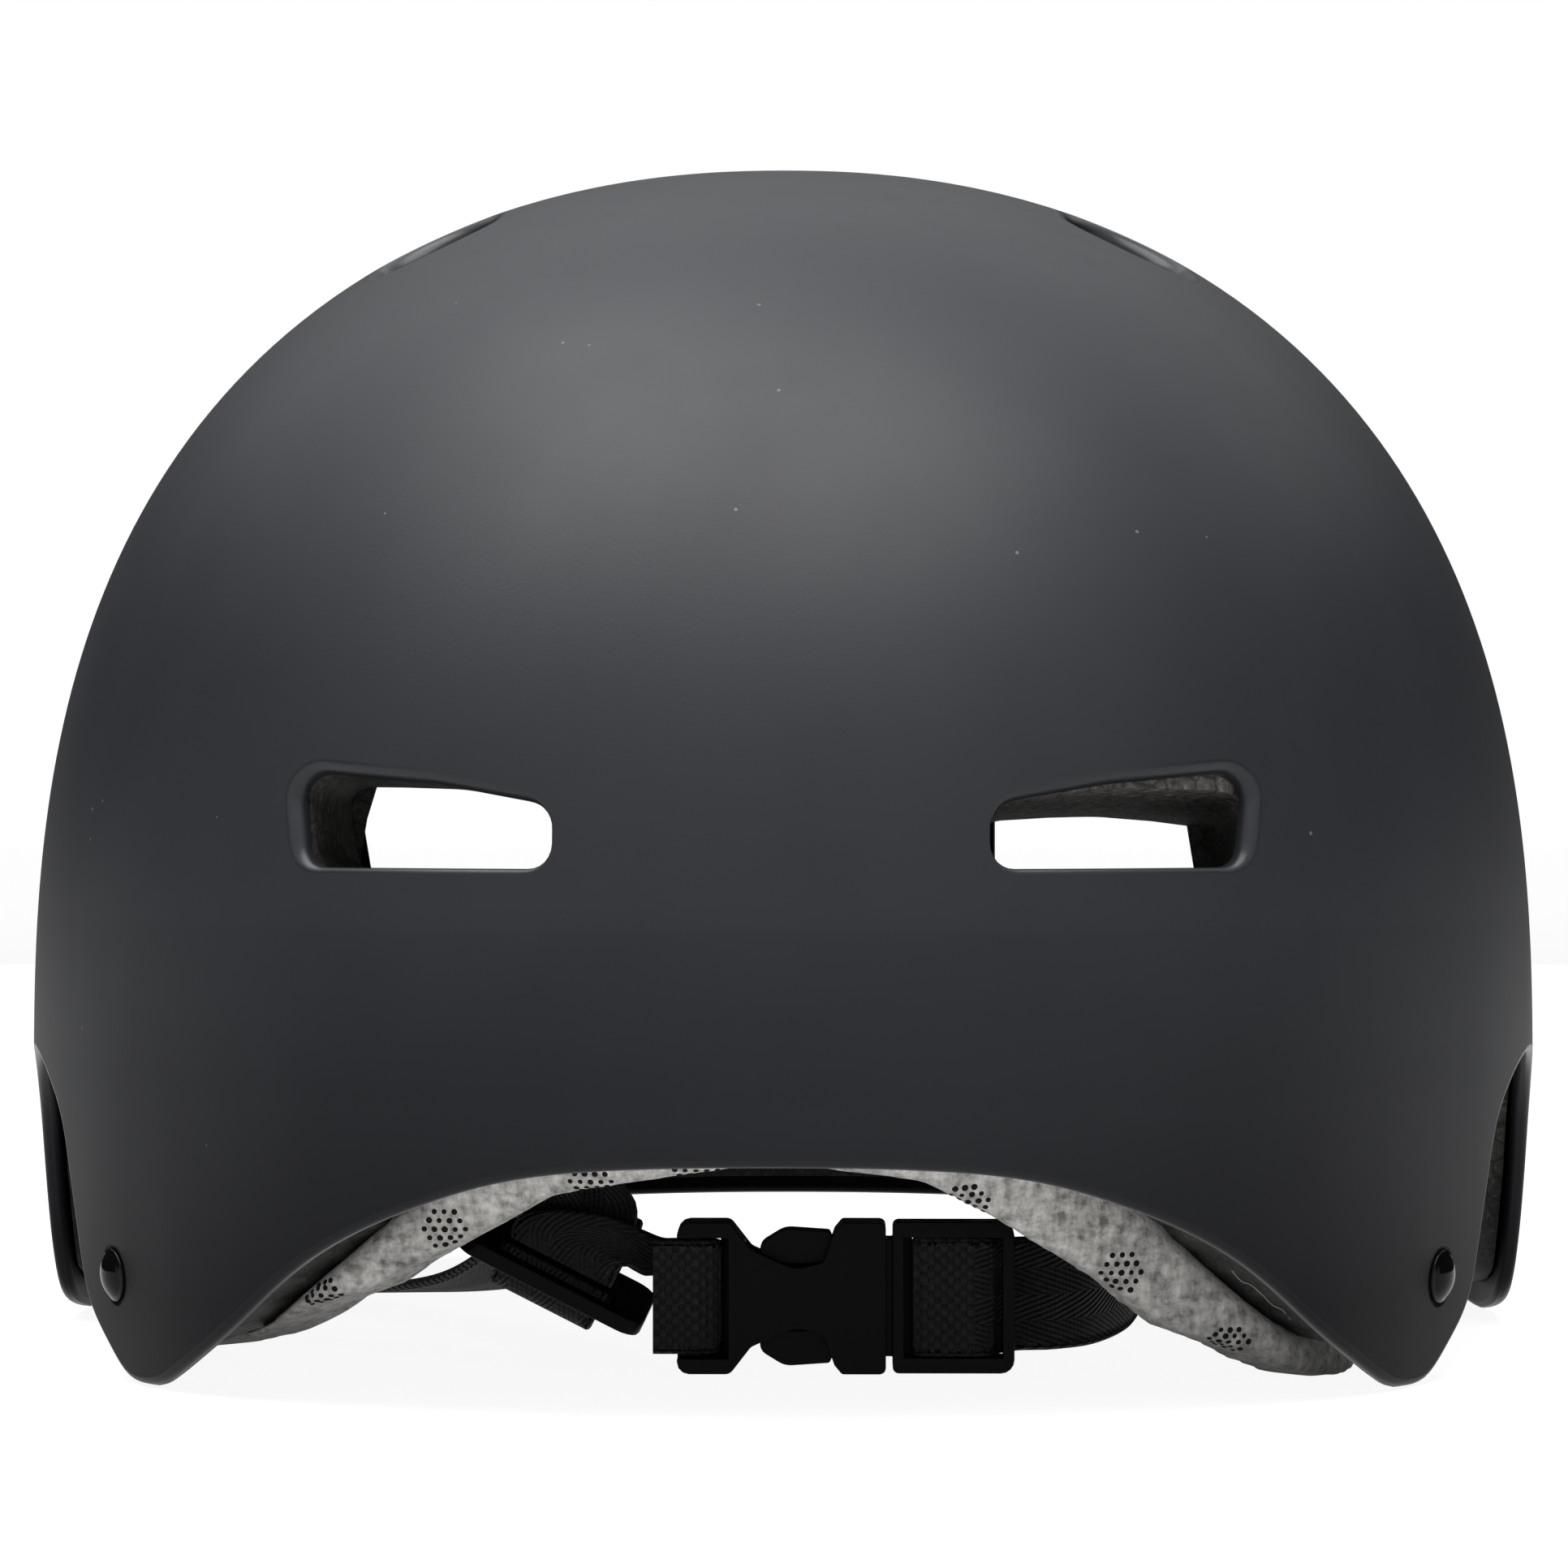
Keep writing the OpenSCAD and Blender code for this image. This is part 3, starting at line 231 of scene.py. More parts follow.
def plainFinish(name, colour, roughness, grainScale, grainDepth, metallic=0.0, specular=0.5):
    look = {"dark": 0.85, "pale": 1.2, "grain": 0.1}
    material, tree, place = newFinish(name)
    field = noise(tree, place, grainScale, 3, 0.6)
    stops = [(0.3, tuple(c * look["dark"] for c in colour)), (0.7, tuple(c * look["pale"] for c in colour))]
    return dressed(material, {
        "Base Color": ramp(tree, noise(tree, place, 45, 2, 0.5), stops), "Metallic": metallic,
        "Roughness": plus(tree, roughness - look["grain"] / 2, field, look["grain"]),
        "Normal": bump(tree, field, grainDepth, 0.5), "Specular IOR Level": specular})


finishes = {
    "shell": shellPlastic("shellPlastic", 0.5, 0.25),
    "lip": shellPlastic("shellLip", 0.34, 0.3),
    "foam": beadFoam(),
    "pad": melangeKnit(),
    "ribbed": webbingFinish("ribbedWebbing", False),
    "herringbone": webbingFinish("herringboneWebbing", True),
    "rivet": plainFinish("glossyRivet", (0.002, 0.002, 0.0023), 0.1, 900, 0.000005, specular=0.12),
    "washer": plainFinish("zincWasher", (0.55, 0.55, 0.56), 0.32, 1200, 0.00001, metallic=1.0),
    "acetal": plainFinish("mouldedAcetal", (0.0024, 0.0022, 0.0024), 0.42, 1600, 0.00003, specular=0.06),
    "hookTape": plainFinish("hookTape", (0.012, 0.012, 0.012), 0.9, 1800, 0.0004),
    "holes": plainFinish("perforation", (0.012, 0.011, 0.010), 0.9, 900, 0.00005, specular=0.1),
    "lint": plainFinish("paleLint", (0.38, 0.37, 0.35), 0.8, 2500, 0.00004),
}
print("finishes made")


# Form of the dome, as in the part: phi turns from the brow (0) to the right, s rises from -1 to 1 at the crown
dome = {"width": 216.0, "length": 271.0, "height": 167.0, "wall": 2.4, "widestFromBrow": 148.0, "planPower": 2.2,
        "crownP": 2.65, "crownQ": 2.18, "sideLevel": 36.0, "browLevel": 45.0, "napeLevel": 62.0, "sideTuck": 0.033,
        "browTuck": 0.02, "napeTuck": 0.10, "skirt": 6.0, "crease": 1.2, "creaseHeight": 60.3}
widestY = dome["widestFromBrow"] - dome["length"] / 2


# A power that keeps the sign
def spow(value, power):
    return np.sign(value) * np.abs(value) ** power


# A measure that changes round the dome from brow over side to nape
def ends(phi, brow, side, nape):
    c = np.cos(phi)
    return side + (np.where(c >= 0, brow, nape) - side) * c * c


def domePoint(phi, s):
    phi, s = np.broadcast_arrays(np.asarray(phi, float), np.asarray(s, float))
    level = ends(phi, dome["browLevel"], dome["sideLevel"], dome["napeLevel"])
    tuck = ends(phi, dome["browTuck"], dome["sideTuck"], dome["napeTuck"])
    up = np.clip(s, 0, 1) * math.pi / 2
    f = np.where(s < 0, 1 - tuck * s * s, np.cos(up).clip(0) ** (2 / dome["crownQ"]))
    z = np.where(s < 0, level + s * (level + dome["skirt"]),
                 level + (dome["height"] - level) * np.sin(up) ** (2 / dome["crownP"]))
    c = np.cos(phi)
    depth = np.where(c >= 0, dome["widestFromBrow"], dome["length"] - dome["widestFromBrow"])
    lean = dome["crease"] * np.clip(1 - z / dome["creaseHeight"], 0, None) * np.clip(c, 0, None) ** 2
    x = dome["width"] / 2 * spow(np.sin(phi), 2 / dome["planPower"]) * f
    y = widestY - depth * spow(c, 2 / dome["planPower"]) * f + lean
    return np.stack([x, y, z], -1)


def unitRows(v):
    return v / np.maximum(np.linalg.norm(v, axis=-1, keepdims=True), 1e-12)


def domeNormal(phi, s):
    phi, s = np.broadcast_arrays(np.asarray(phi, float), np.asarray(s, float))
    sUse = np.minimum(s, 0.9975)
    across = domePoint(phi + 0.006, sUse) - domePoint(phi - 0.006, sUse)
    along = domePoint(phi, sUse + 0.0025) - domePoint(phi, sUse - 0.0025)
    n = unitRows(np.cross(across, along))
    top = np.clip((s - 0.985) / 0.0125, 0, 1)[..., None]
    return unitRows(n * (1 - top) + np.array([0, 0, 1.0]) * top)


def onDome(phi, s, depth):
    return domePoint(phi, s) - np.asarray(depth, float)[..., None] * domeNormal(phi, s)


# The rise at a height
def sAt(phi, z):
    level = ends(phi, dome["browLevel"], dome["sideLevel"], dome["napeLevel"])
    rise = np.clip((z - level) / (dome["height"] - level), 0, 1)
    return np.where(z < level, (z - level) / (level + dome["skirt"]),
                    np.arcsin(rise ** (dome["crownP"] / 2)) / (math.pi / 2))


# Angle and rise nearest to the targets, from a first guess; below the level the steps go by height
def nearestOnDome(target, phi, s):
    low = domePoint(phi, s)[..., 2] < 110
    for _ in range(9):
        p = domePoint(phi, s)
        z = p[..., 2]
        ja = (domePoint(phi + 1e-4, np.where(low, sAt(phi + 1e-4, z), s)) - p) / 1e-4
        jb = np.where(low[..., None], (domePoint(phi, sAt(phi, z + 0.01)) - p) / 0.01,
                      (domePoint(phi, s + 1e-4) - p) / 1e-4)
        r = target - p
        aa, ab, bb = (ja * ja).sum(-1), (ja * jb).sum(-1), (jb * jb).sum(-1)
        ra, rb = (ja * r).sum(-1), (jb * r).sum(-1)
        det = np.maximum(aa * bb - ab * ab, 1e-9)
        phi = phi + (bb * ra - ab * rb) / det
        step = (aa * rb - ab * ra) / det
        s = np.clip(np.where(low, sAt(phi, z + step), s + step), -1.02, 0.999)
    return phi, s


# Angle and rise of points seen from above, from the front or rear, and from the right
def fromPlan(x, y):
    depth = np.where(y < widestY, dome["widestFromBrow"], dome["length"] - dome["widestFromBrow"])
    a, b = np.abs(x) / (dome["width"] / 2), np.abs(y - widestY) / depth
    power = dome["planPower"]
    f = (a ** power + b ** power) ** (1 / power)
    phi = np.arctan2(a ** (power / 2), b ** (power / 2))
    phi = np.where(y < widestY, phi, math.pi - phi) * np.sign(np.where(x == 0, 1, x))
    s = np.arccos(np.clip(f, 0, 1) ** (dome["crownQ"] / 2)) / (math.pi / 2)
    return phi, s


# The angle, up to the top one, where the test stops to hold
def lastAngle(like, top, test):
    lo, hi = np.zeros_like(like), np.full_like(like, top)
    for _ in range(48):
        mid = (lo + hi) / 2
        holds = test(mid)
        lo, hi = np.where(holds, mid, lo), np.where(holds, hi, mid)
    return lo


def fromFront(x, z, rear=False):
    def turned(a):
        return math.pi - a if rear else a

    angle = lastAngle(x, math.pi / 2, lambda a: domePoint(turned(a), sAt(turned(a), z))[..., 0] < np.abs(x))
    angle = turned(angle) * np.sign(x)
    return angle, sAt(angle, z)


def fromSide(y, z):
    phi = lastAngle(y, math.pi, lambda a: domePoint(a, sAt(a, z))[..., 1] < y)
    return phi, sAt(phi, z)


# A spot on the dome with its normal, its level direction and its rising one
def spotOn(phi, z):
    angle = math.radians(phi)
    s = float(sAt(angle, z))
    n = domeNormal(angle, s)
    h = unitRows(np.cross([0, 0, 1], n))
    return domePoint(angle, s), n, h, np.cross(n, h)


def spline(points, steps):
    p = [np.asarray(q, float) for q in points]
    out = []
    for i in range(len(p) - 1):
        a, b, c, d = p[max(i - 1, 0)], p[i], p[i + 1], p[min(i + 2, len(p) - 1)]
        for k in range(steps):
            t = k / steps
            out.append(0.5 * (2 * b + (c - a) * t + (2 * a - 5 * b + 4 * c - d) * t * t
                              + (3 * b - a - 3 * c + d) * t ** 3))
    return np.array(out + [p[-1]])


def roundedOutline(corners, n):
    out = []
    for i, (x, y, r) in enumerate(corners):
        p = np.array([x, y], float)
        u = unitRows(np.array(corners[i - 1][:2], float) - p)
        v = unitRows(np.array(corners[(i + 1) % len(corners)][:2], float) - p)
        half = math.acos(float(np.clip(u @ v, -1, 1))) / 2
        centre = p + unitRows(u + v) * r / math.sin(half)
        a, b = p + u * r / math.tan(half) - centre, p + v * r / math.tan(half) - centre
        a0, a1 = math.atan2(a[1], a[0]), math.atan2(b[1], b[0])
        turn = (a1 - a0 + math.pi) % (2 * math.pi) - math.pi
        angles = [a0 + turn * k / n for k in range(n + 1)]
        out += [centre + r * np.array([math.cos(angle), math.sin(angle)]) for angle in angles]
    return np.array(out)


def arcLength(points):
    return np.concatenate([[0], np.cumsum(np.linalg.norm(np.diff(points, axis=0), axis=1))])


def evenRun(points, spacing, least=4):
    run = arcLength(points[:, :3])
    at = np.linspace(0, run[-1], max(least, int(round(run[-1] / spacing))) + 1)
    return np.stack([np.interp(at, run, column) for column in points.T], -1)


def evenLoop(points, spacing):
    return evenRun(np.vstack([points, points[:1]]), spacing, 12)[:-1]


def newObject(name, data):
    obj = bpy.data.objects.new(name, data)
    scene.collection.objects.link(obj)
    return obj


def makeObject(name, points, faces, finishName, uvs=None):
    mesh = bpy.data.meshes.new(name)
    mesh.from_pydata([tuple(p) for p in np.asarray(points, float) * mm], [],
                     [tuple(int(i) for i in f) for f in faces])
    mesh.validate()
    mesh.materials.append(finishes[finishName])
    mesh.polygons.foreach_set("use_smooth", [True] * len(mesh.polygons))
    if uvs is not None:
        layer = mesh.uv_layers.new(name="weave")
        loops = np.empty(len(mesh.loops), int)
        mesh.loops.foreach_get("vertex_index", loops)
        layer.data.foreach_set("uv", np.asarray(uvs, float)[loops].ravel())
    return newObject(name, mesh)


# The mesh of an object with its modifiers applied
def finalMesh(obj):
    return bpy.data.meshes.new_from_object(obj.evaluated_get(bpy.context.evaluated_depsgraph_get()))


def applyAll(obj):
    bpy.context.view_layer.update()
    mesh = finalMesh(obj)
    obj.modifiers.clear()
    old = obj.data
    obj.data = mesh
    bpy.data.meshes.remove(old)
    return obj


def recalc(obj):
    bm = bmesh.new()
    bm.from_mesh(obj.data)
    bmesh.ops.recalc_face_normals(bm, faces=bm.faces)
    bm.to_mesh(obj.data)
    bm.free()


# Rim of the shell in side view, brow to nape
rim = {"brow": 32.4, "nape": 10.0, "notch": 41.0, "notchFront": -66.0, "notchRear": -2.0, "tip": -84.0,
       "foot": 25.0}
halfLength = dome["length"] / 2


def rimSide():
    brow, nape, notch, front, rear, tip, foot = rim.values()
    end = halfLength
    corners = [(-end - 4, brow + 0.4), (-end + 4, brow - 1.8), (-end + 11, brow - 6.4), (-end + 20, brow - 13.2),
               (-end + 32, brow - 23.6), (tip - 8.5, 2), (tip - 3, 0), (tip + 3, 0), ((tip + front) / 2, 4.4),
               (front - 3, 10), (front - 0.6, 20), (front + 3.4, notch - 9.5), (front + 10, notch - 4.4),
               (front + 21, notch - 0.9), (front + 0.55 * (rear - front), notch), (rear - 14, notch - 2.6),
               (rear - 4, notch - 10), (rear - 0.5, 22), (rear + 1.5, 9), (rear + 7, 3), (foot - 3, 0), (foot + 3, 0),
               (foot + 0.45 * (end - foot), nape * 0.32), (foot + 0.8 * (end - foot), nape * 0.78),
               (end + 4, nape + 0.4)]
    curve = spline(corners, 12)
    curve[:, 1] = np.maximum(curve[:, 1], 0)
    return curve


rimCurve = rimSide()


# Angles and rises all round the rim: near the middle lines by angle, at the sides from the side view
def rimLoop(spacing):
    def near(angles):
        z = np.full_like(angles, 30.0)
        for _ in range(40):
            z = 0.5 * z + 0.5 * np.interp(domePoint(angles, sAt(angles, z))[:, 1], rimCurve[:, 0], rimCurve[:, 1])
        return np.stack([angles, sAt(angles, z)], -1)

    brow = near(np.radians(np.linspace(0, 24, 30)))
    nape = near(np.radians(np.linspace(156, 180, 30)))
    y0, y1 = domePoint(*brow[-1])[1], domePoint(*nape[0])[1]
    middle = rimCurve[(rimCurve[:, 0] > y0 + 0.5) & (rimCurve[:, 0] < y1 - 0.5)]
    half = np.vstack([brow, np.stack(fromSide(*middle.T), -1), nape])
    half = evenRun(np.hstack([domePoint(*half.T), half]), spacing)[:, 3:]
    return np.vstack([half, half[::-1][1:-1] * np.array([-1, 1])])


# The dome laid flat from the crown outwards, for the triangulation
def flat(phi, s):
    reach, skirt = 180, 55
    rho = np.where(s >= 0, reach * (1 - s), reach - skirt * s)
    return np.stack([rho * np.sin(phi), -rho * np.cos(phi)], -1)


def insideLoop(points, loop):
    x, y = points[:, 0], points[:, 1]
    inside = np.zeros(len(points), bool)
    for (x0, y0), (x1, y1) in zip(loop, np.roll(loop, -1, 0)):
        if y0 != y1:
            inside ^= ((y0 > y) != (y1 > y)) & (x < (x1 - x0) * (y - y0) / (y1 - y0) + x0)
    return inside


# Four times the mean of each row with its neighbours in a closed ring
def blur(ring):
    return np.roll(ring, 1, 0) + 2 * ring + np.roll(ring, -1, 0)


# Rings round an opening, each at its distance into the wall; the first ring is the opening itself
def edgeRings(ring, distances, isRim, lip=None):
    phi, s = ring.T
    p, n = domePoint(phi, s), domeNormal(phi, s)
    away = unitRows(np.cross(np.roll(p, -1, 0) - np.roll(p, 1, 0), n))
    if (away[:, 2].mean() < 0) if isRim else (((p - p.mean(0)) * away).sum(-1).mean() < 0):
        away = -away
    for _ in range(3 if isRim else 1):
        away = unitRows(blur(away))
    rings = {}
    widths = np.ones((len(ring), 1))
    if lip:
        side = np.sign(p[:, :1].mean())
        shares = [side * away[:, :1], -side * away[:, :1], away[:, 2:], -away[:, 2:]]
        shares = [np.maximum(q, 0) ** 2 for q in shares]
        widths = sum(w * q for w, q in zip(lip, shares)) / np.maximum(sum(shares), 0.05)
        for _ in range(4):
            widths = blur(widths) / 4
    for d in distances:
        q = (phi, s) if d == 0 else nearestOnDome(p + d * widths * away, phi, s)
        if isRim and d > 0:
            x = domePoint(*q)
            for _ in range(4):
                x = blur(x) / 4
            q = nearestOnDome(x, *q)
        rings[d] = np.stack(q, -1)
    return rings, away


# The shell: smooth outer and inner skins round the openings, joined by rounded edges
def buildShell():
    size = {"columns": 300, "rows": 74, "skirtRows": 22, "ventEdge": 1.9, "slotEdge": 2.0, "rimEdge": 1.05,
            "rivetEdge": 0.25, "rivetHole": 3.95, "rearShrink": 1.5, "slotShrink": 0.6, "slotX": 48.5,
            "slotHalf": 8.5, "slotCorner": 8.49, "innerEdge": 0.35, "rimInnerEdge": 0.8, "rimReach": 2.4,
            "rivetReach": 1.6, "reach": 1.5, "nearest": 1.1, "ventLip": (1.15, 0.3, 0.85, 0.45)}
    wall = dome["wall"]
    vent = roundedOutline([(27.0, 68.1, 3.0), (58.7, 68.1, 2.6), (60.0, 80.2, 3.2), (41.88, 78.6, 30.0),
                           (27.0, 75.9, 3.6)], 8)
    rearVent = roundedOutline([(33, 61, 4), (72, 61, 4), (75, 81, 5), (33, 79, 5)], 8)
    openings = []

    def both(ring, kind, edge):
        ring = np.stack(ring, -1)
        openings.append((ring, kind, edge))
        openings.append((ring[::-1] * np.array([-1, 1]), kind, edge))

    def shrink(outline, by):
        c = unitRows(np.roll(outline, -1, 0) - np.roll(outline, 1, 0))
        side = np.stack([-c[:, 1], c[:, 0]], -1)
        if ((outline - outline.mean(0)) * side).sum() > 0:
            side = -side
        return outline + by * side

    both(fromFront(*evenLoop(vent, 0.8).T), "browVent", size["ventEdge"])
    both(fromFront(*shrink(evenLoop(rearVent, 1.2), size["rearShrink"]).T, True), "vent", size["ventEdge"])
    wide, corner = size["slotHalf"], size["slotCorner"]
    for centre, half in ((-30, 14), (33, 33)):
        capsule = roundedOutline([(x, y, corner) for x, y in
                                  ((-wide, -half), (wide, -half), (wide, half), (-wide, half))], 16)
        o = shrink(evenLoop(capsule, 1.2), size["slotShrink"]) + np.array([size["slotX"], centre])
        both(fromPlan(*o.T), "slot", size["slotEdge"])
    for phi, z in rivetSpots:
        c, _, h, u = spotOn(phi, z)
        angle = np.full(40, math.radians(phi))
        turn = np.linspace(0, 2 * math.pi, 40, endpoint=False)[:, None]
        q = c + size["rivetHole"] * (np.cos(turn) * h + np.sin(turn) * u)
        both(nearestOnDome(q, angle, sAt(angle, z)), "rivet", size["rivetEdge"])
    openings.append((rimLoop(1.6), "rim", size["rimEdge"]))

    points, normals = [], []

    def addRows(rows, facing):
        start = sum(len(q) for q in points)
        points.append(rows)
        normals.append(facing)
        return np.arange(start, start + len(rows))

    rings, bands = [], []
    for ring, kind, r in openings:
        reach = {"rim": size["rimReach"], "rivet": size["rivetReach"]}.get(kind, r + size["reach"])
        inner = size["rimInnerEdge" if kind == "rim" else "innerEdge"]
        steps = [(reach, 0, 0, 1)]
        steps += [(r * (1 - math.sin(a)), r * (1 - math.cos(a)), a, 1) for a in np.linspace(0, math.pi / 2, 7)]
        steps += [(inner * (1 - math.sin(a)), wall - inner * (1 - math.cos(a)), a, -1)
                  for a in np.linspace(math.pi / 2, 0, 5)]
        steps = [(round(d, 6), depth, a, side) for d, depth, a, side in steps + [(reach, wall, 0, -1)]]
        made, away = edgeRings(ring, sorted({step[0] for step in steps}), kind == "rim",
                               size["ventLip"] if kind == "browVent" else None)
        layers = []
        for d, depth, a, side in steps:
            n = domeNormal(*made[d].T)
            layers.append((domePoint(*made[d].T) - depth * n,
                           unitRows(side * math.cos(a) * n - math.sin(a) * away)))
        if kind == "rivet":
            layers = layers[:5] + [layers[-1]]
        rings.append(made[round(reach, 6)])
        bands.append((layers, kind))

    def onWall(spots):
        use = insideLoop(spots, flat(*rings[-1].T))
        for r in rings[:-1]:
            use &= ~insideLoop(spots, flat(*r.T))
        return use

    rows = np.concatenate([-np.linspace(1, 1 / size["skirtRows"], size["skirtRows"]) ** 1.25,
                           np.linspace(0, 1, size["rows"] + 1)[:-1] ** 1.4])
    grid = []
    for j, s in enumerate(rows):
        share = float(np.clip(math.cos(max(s, 0) * math.pi / 2) ** 0.9, 0.03, 1))
        count = max(10, int(size["columns"] * share))
        phi = (np.arange(count) + 0.5 * (j % 2)) / count * 2 * math.pi - math.pi
        grid.append(np.stack([phi, np.full(count, s)], -1))
    grid = np.vstack(grid + [np.array([[0.0, 1.0]])])
    grid = grid[onWall(flat(*grid.T))]
    ringPoints = np.vstack([domePoint(*r.T) for r in rings])
    tree = KDTree(len(ringPoints))
    for i, point in enumerate(ringPoints):
        tree.insert(Vector(point), i)
    tree.balance()
    grid = grid[[tree.find(Vector(q))[2] > size["nearest"] for q in domePoint(*grid.T)]]
    spots = np.vstack(rings + [grid])
    edges, start = [], 0
    for r in rings:
        edges += [(start + i, start + (i + 1) % len(r)) for i in range(len(r))]
        start += len(r)
    plan = flat(*spots.T)
    faces = np.array([list(f) for f in geometry.delaunay_2d_cdt([Vector(q) for q in plan], edges, [], 0, 1e-7)[2]])
    faces = faces[onWall(plan[faces].mean(1))]
    n = domeNormal(*spots.T)
    outer = addRows(domePoint(*spots.T), n)
    inner = addRows(domePoint(*spots.T) - wall * n, -n)
    out = [tuple(outer[f]) for f in faces] + [tuple(inner[f[::-1]]) for f in faces]
    start, lips = 0, []
    for layers, kind in bands:
        count = len(layers[0][0])
        index = [outer[start:start + count]]
        index += [addRows(*layer) for layer in layers[1:-1]]
        index.append(inner[start:start + count])
        start += count
        pairs = list(zip(index, index[1:]))
        if kind == "rivet":
            pairs = pairs[:-1]
            out += [tuple(index[-2]), tuple(index[-1])]
        for j, (a, b) in enumerate(pairs):
            if 0 < j < 8 and kind != "rivet":
                lips += range(len(out), len(out) + count)
            for i in range(count):
                k = (i + 1) % count
                out.append((a[i], a[k], b[k], b[i]))
    shell = makeObject("outerShell", np.vstack(points), out, "shell")
    shell.data.materials.append(finishes["lip"])
    for i in lips:
        shell.data.polygons[i].material_index = 1
    recalc(shell)
    shell.data.normals_split_custom_set_from_vertices([tuple(v) for v in np.vstack(normals)])
    return shell


# The frame's name of the part that a piece takes the place of: outer_shell for outerShell
def nodeOf(name):
    return "".join("_" + c.lower() if c.isupper() else c for c in name)


def place(piece, body, slotName, replacing=True):
    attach(piece, body)
    if replacing:
        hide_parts(nodeOf(piece.name))
    return piece


# Angle and height of the right side's front and rear rivet; the left side mirrors them
rivetSpots = [(52.6, 14), (122, 21)]
shell = place(buildShell(), "helmet", "shell")
print("shell", len(shell.data.polygons))


# A merged, rounded copy of a part of the frame
def roundedCopy(name, finishName, edge, angle):
    merge, straight, sharp = 3e-6, 0.8, 38
    bm = bmesh.new()
    bm.from_mesh(cad[nodeOf(name)].data)
    bmesh.ops.remove_doubles(bm, verts=bm.verts, dist=merge)
    bmesh.ops.dissolve_limit(bm, angle_limit=math.radians(straight), verts=bm.verts, edges=bm.edges)
    mesh = bpy.data.meshes.new(name)
    bm.to_mesh(mesh)
    bm.free()
    obj = newObject(name, mesh)
    mesh.materials.clear()
    mesh.materials.append(finishes[finishName])
    mesh.polygons.foreach_set("use_smooth", [True] * len(mesh.polygons))
    rounder = obj.modifiers.new("edges", "BEVEL")
    rounder.width, rounder.segments, rounder.limit_method = edge * mm, 2, "ANGLE"
    rounder.angle_limit = math.radians(angle)
    obj.modifiers.new("shading", "WEIGHTED_NORMAL").keep_sharp = True
    applyAll(obj)
    obj.data.set_sharp_from_angle(angle=math.radians(sharp))
    return obj


# Piece, body, slot, finish, width of the rounded edge in millimetres, angle from which an edge is rounded
for name, body, slotName, finishName, edge, angle in (
        ("foamLiner", "helmet", "foam", "foam", 0.8, 34), ("buckleSocket", "helmet", "hardware", "acetal", 0.35, 30),
        ("bucklePlug", "plug", "hardware", "acetal", 0.3, 30),
        ("latchArmUpper", "arm_upper", "hardware", "acetal", 0.2, 30),
        ("latchArmLower", "arm_lower", "hardware", "acetal", 0.2, 30),
        ("strapSliderLeft", "slider_left", "hardware", "acetal", 0.5, 30),
        ("strapSliderRight", "slider_right", "hardware", "acetal", 0.5, 30),
        ("padPatches", "helmet", "hook_tape", "hookTape", 0.2, 30)):
    place(roundedCopy(name, finishName, edge, angle), body, slotName)
liner = bpy.data.objects["foamLiner"]
print("liner, buckle and sliders")


# Pads: a crowned cushion between two angles, as in the part
pads = {"linerIn": 24.7, "seat": 0.55, "patch": 1.0, "edge": 2.6, "clear": 1.1, "backShare": 0.45}
padOut = pads["linerIn"] + pads["patch"] + 2 * pads["seat"]
browHem = [(-74, -1.4), (-66, -1.6), (-58, -1.3), (-50, 1.5), (-44, 5), (-41, 8), (-36, 10.8), (-34, 13.2),
           (-30, 16.4), (-20, 23.8), (0, 28.5),
           (12, 26), (20, 20.4), (30, 12.2), (36, 5.2), (41, 2.2), (44, -0.4), (50, -3.6), (58, -4.8), (65.5, -4.2)]
browHead = [(-74, 42), (-40, 55), (0, 58), (40, 55), (65.5, 42)]
browFill = [(-74, 0.8), (-50, 1), (16, 1), (32, 0.42), (39, 0.3), (51, 0.3), (57, 0.6), (65.5, 0.6)]
# How far the hem may spread outwards below the foam, by angle
browSpread = [(-74, 7), (-62, 15), (-46, 16), (-40, 12), (-34, 6), (-24, 0), (24, 0), (34, 4), (40, 9.5), (46, 14),
              (56, 13.5), (65.5, 9)]
linerTree = BVHTree.FromObject(liner, bpy.context.evaluated_depsgraph_get())


def table(pairs, x):
    return np.interp(x, [p[0] for p in pairs], [p[1] for p in pairs])


# Room from each point outwards to the foam, up to the given spread
def roomUnder(points, outward, most):
    room = np.zeros(len(points))
    for i in np.nonzero(most > 0)[0]:
        hit = linerTree.ray_cast(Vector(points[i] * mm), Vector(outward[i]), (most[i] + pads["clear"]) * mm)[3]
        room[i] = most[i] if hit is None else max(0, hit / mm - pads["clear"])
    return room


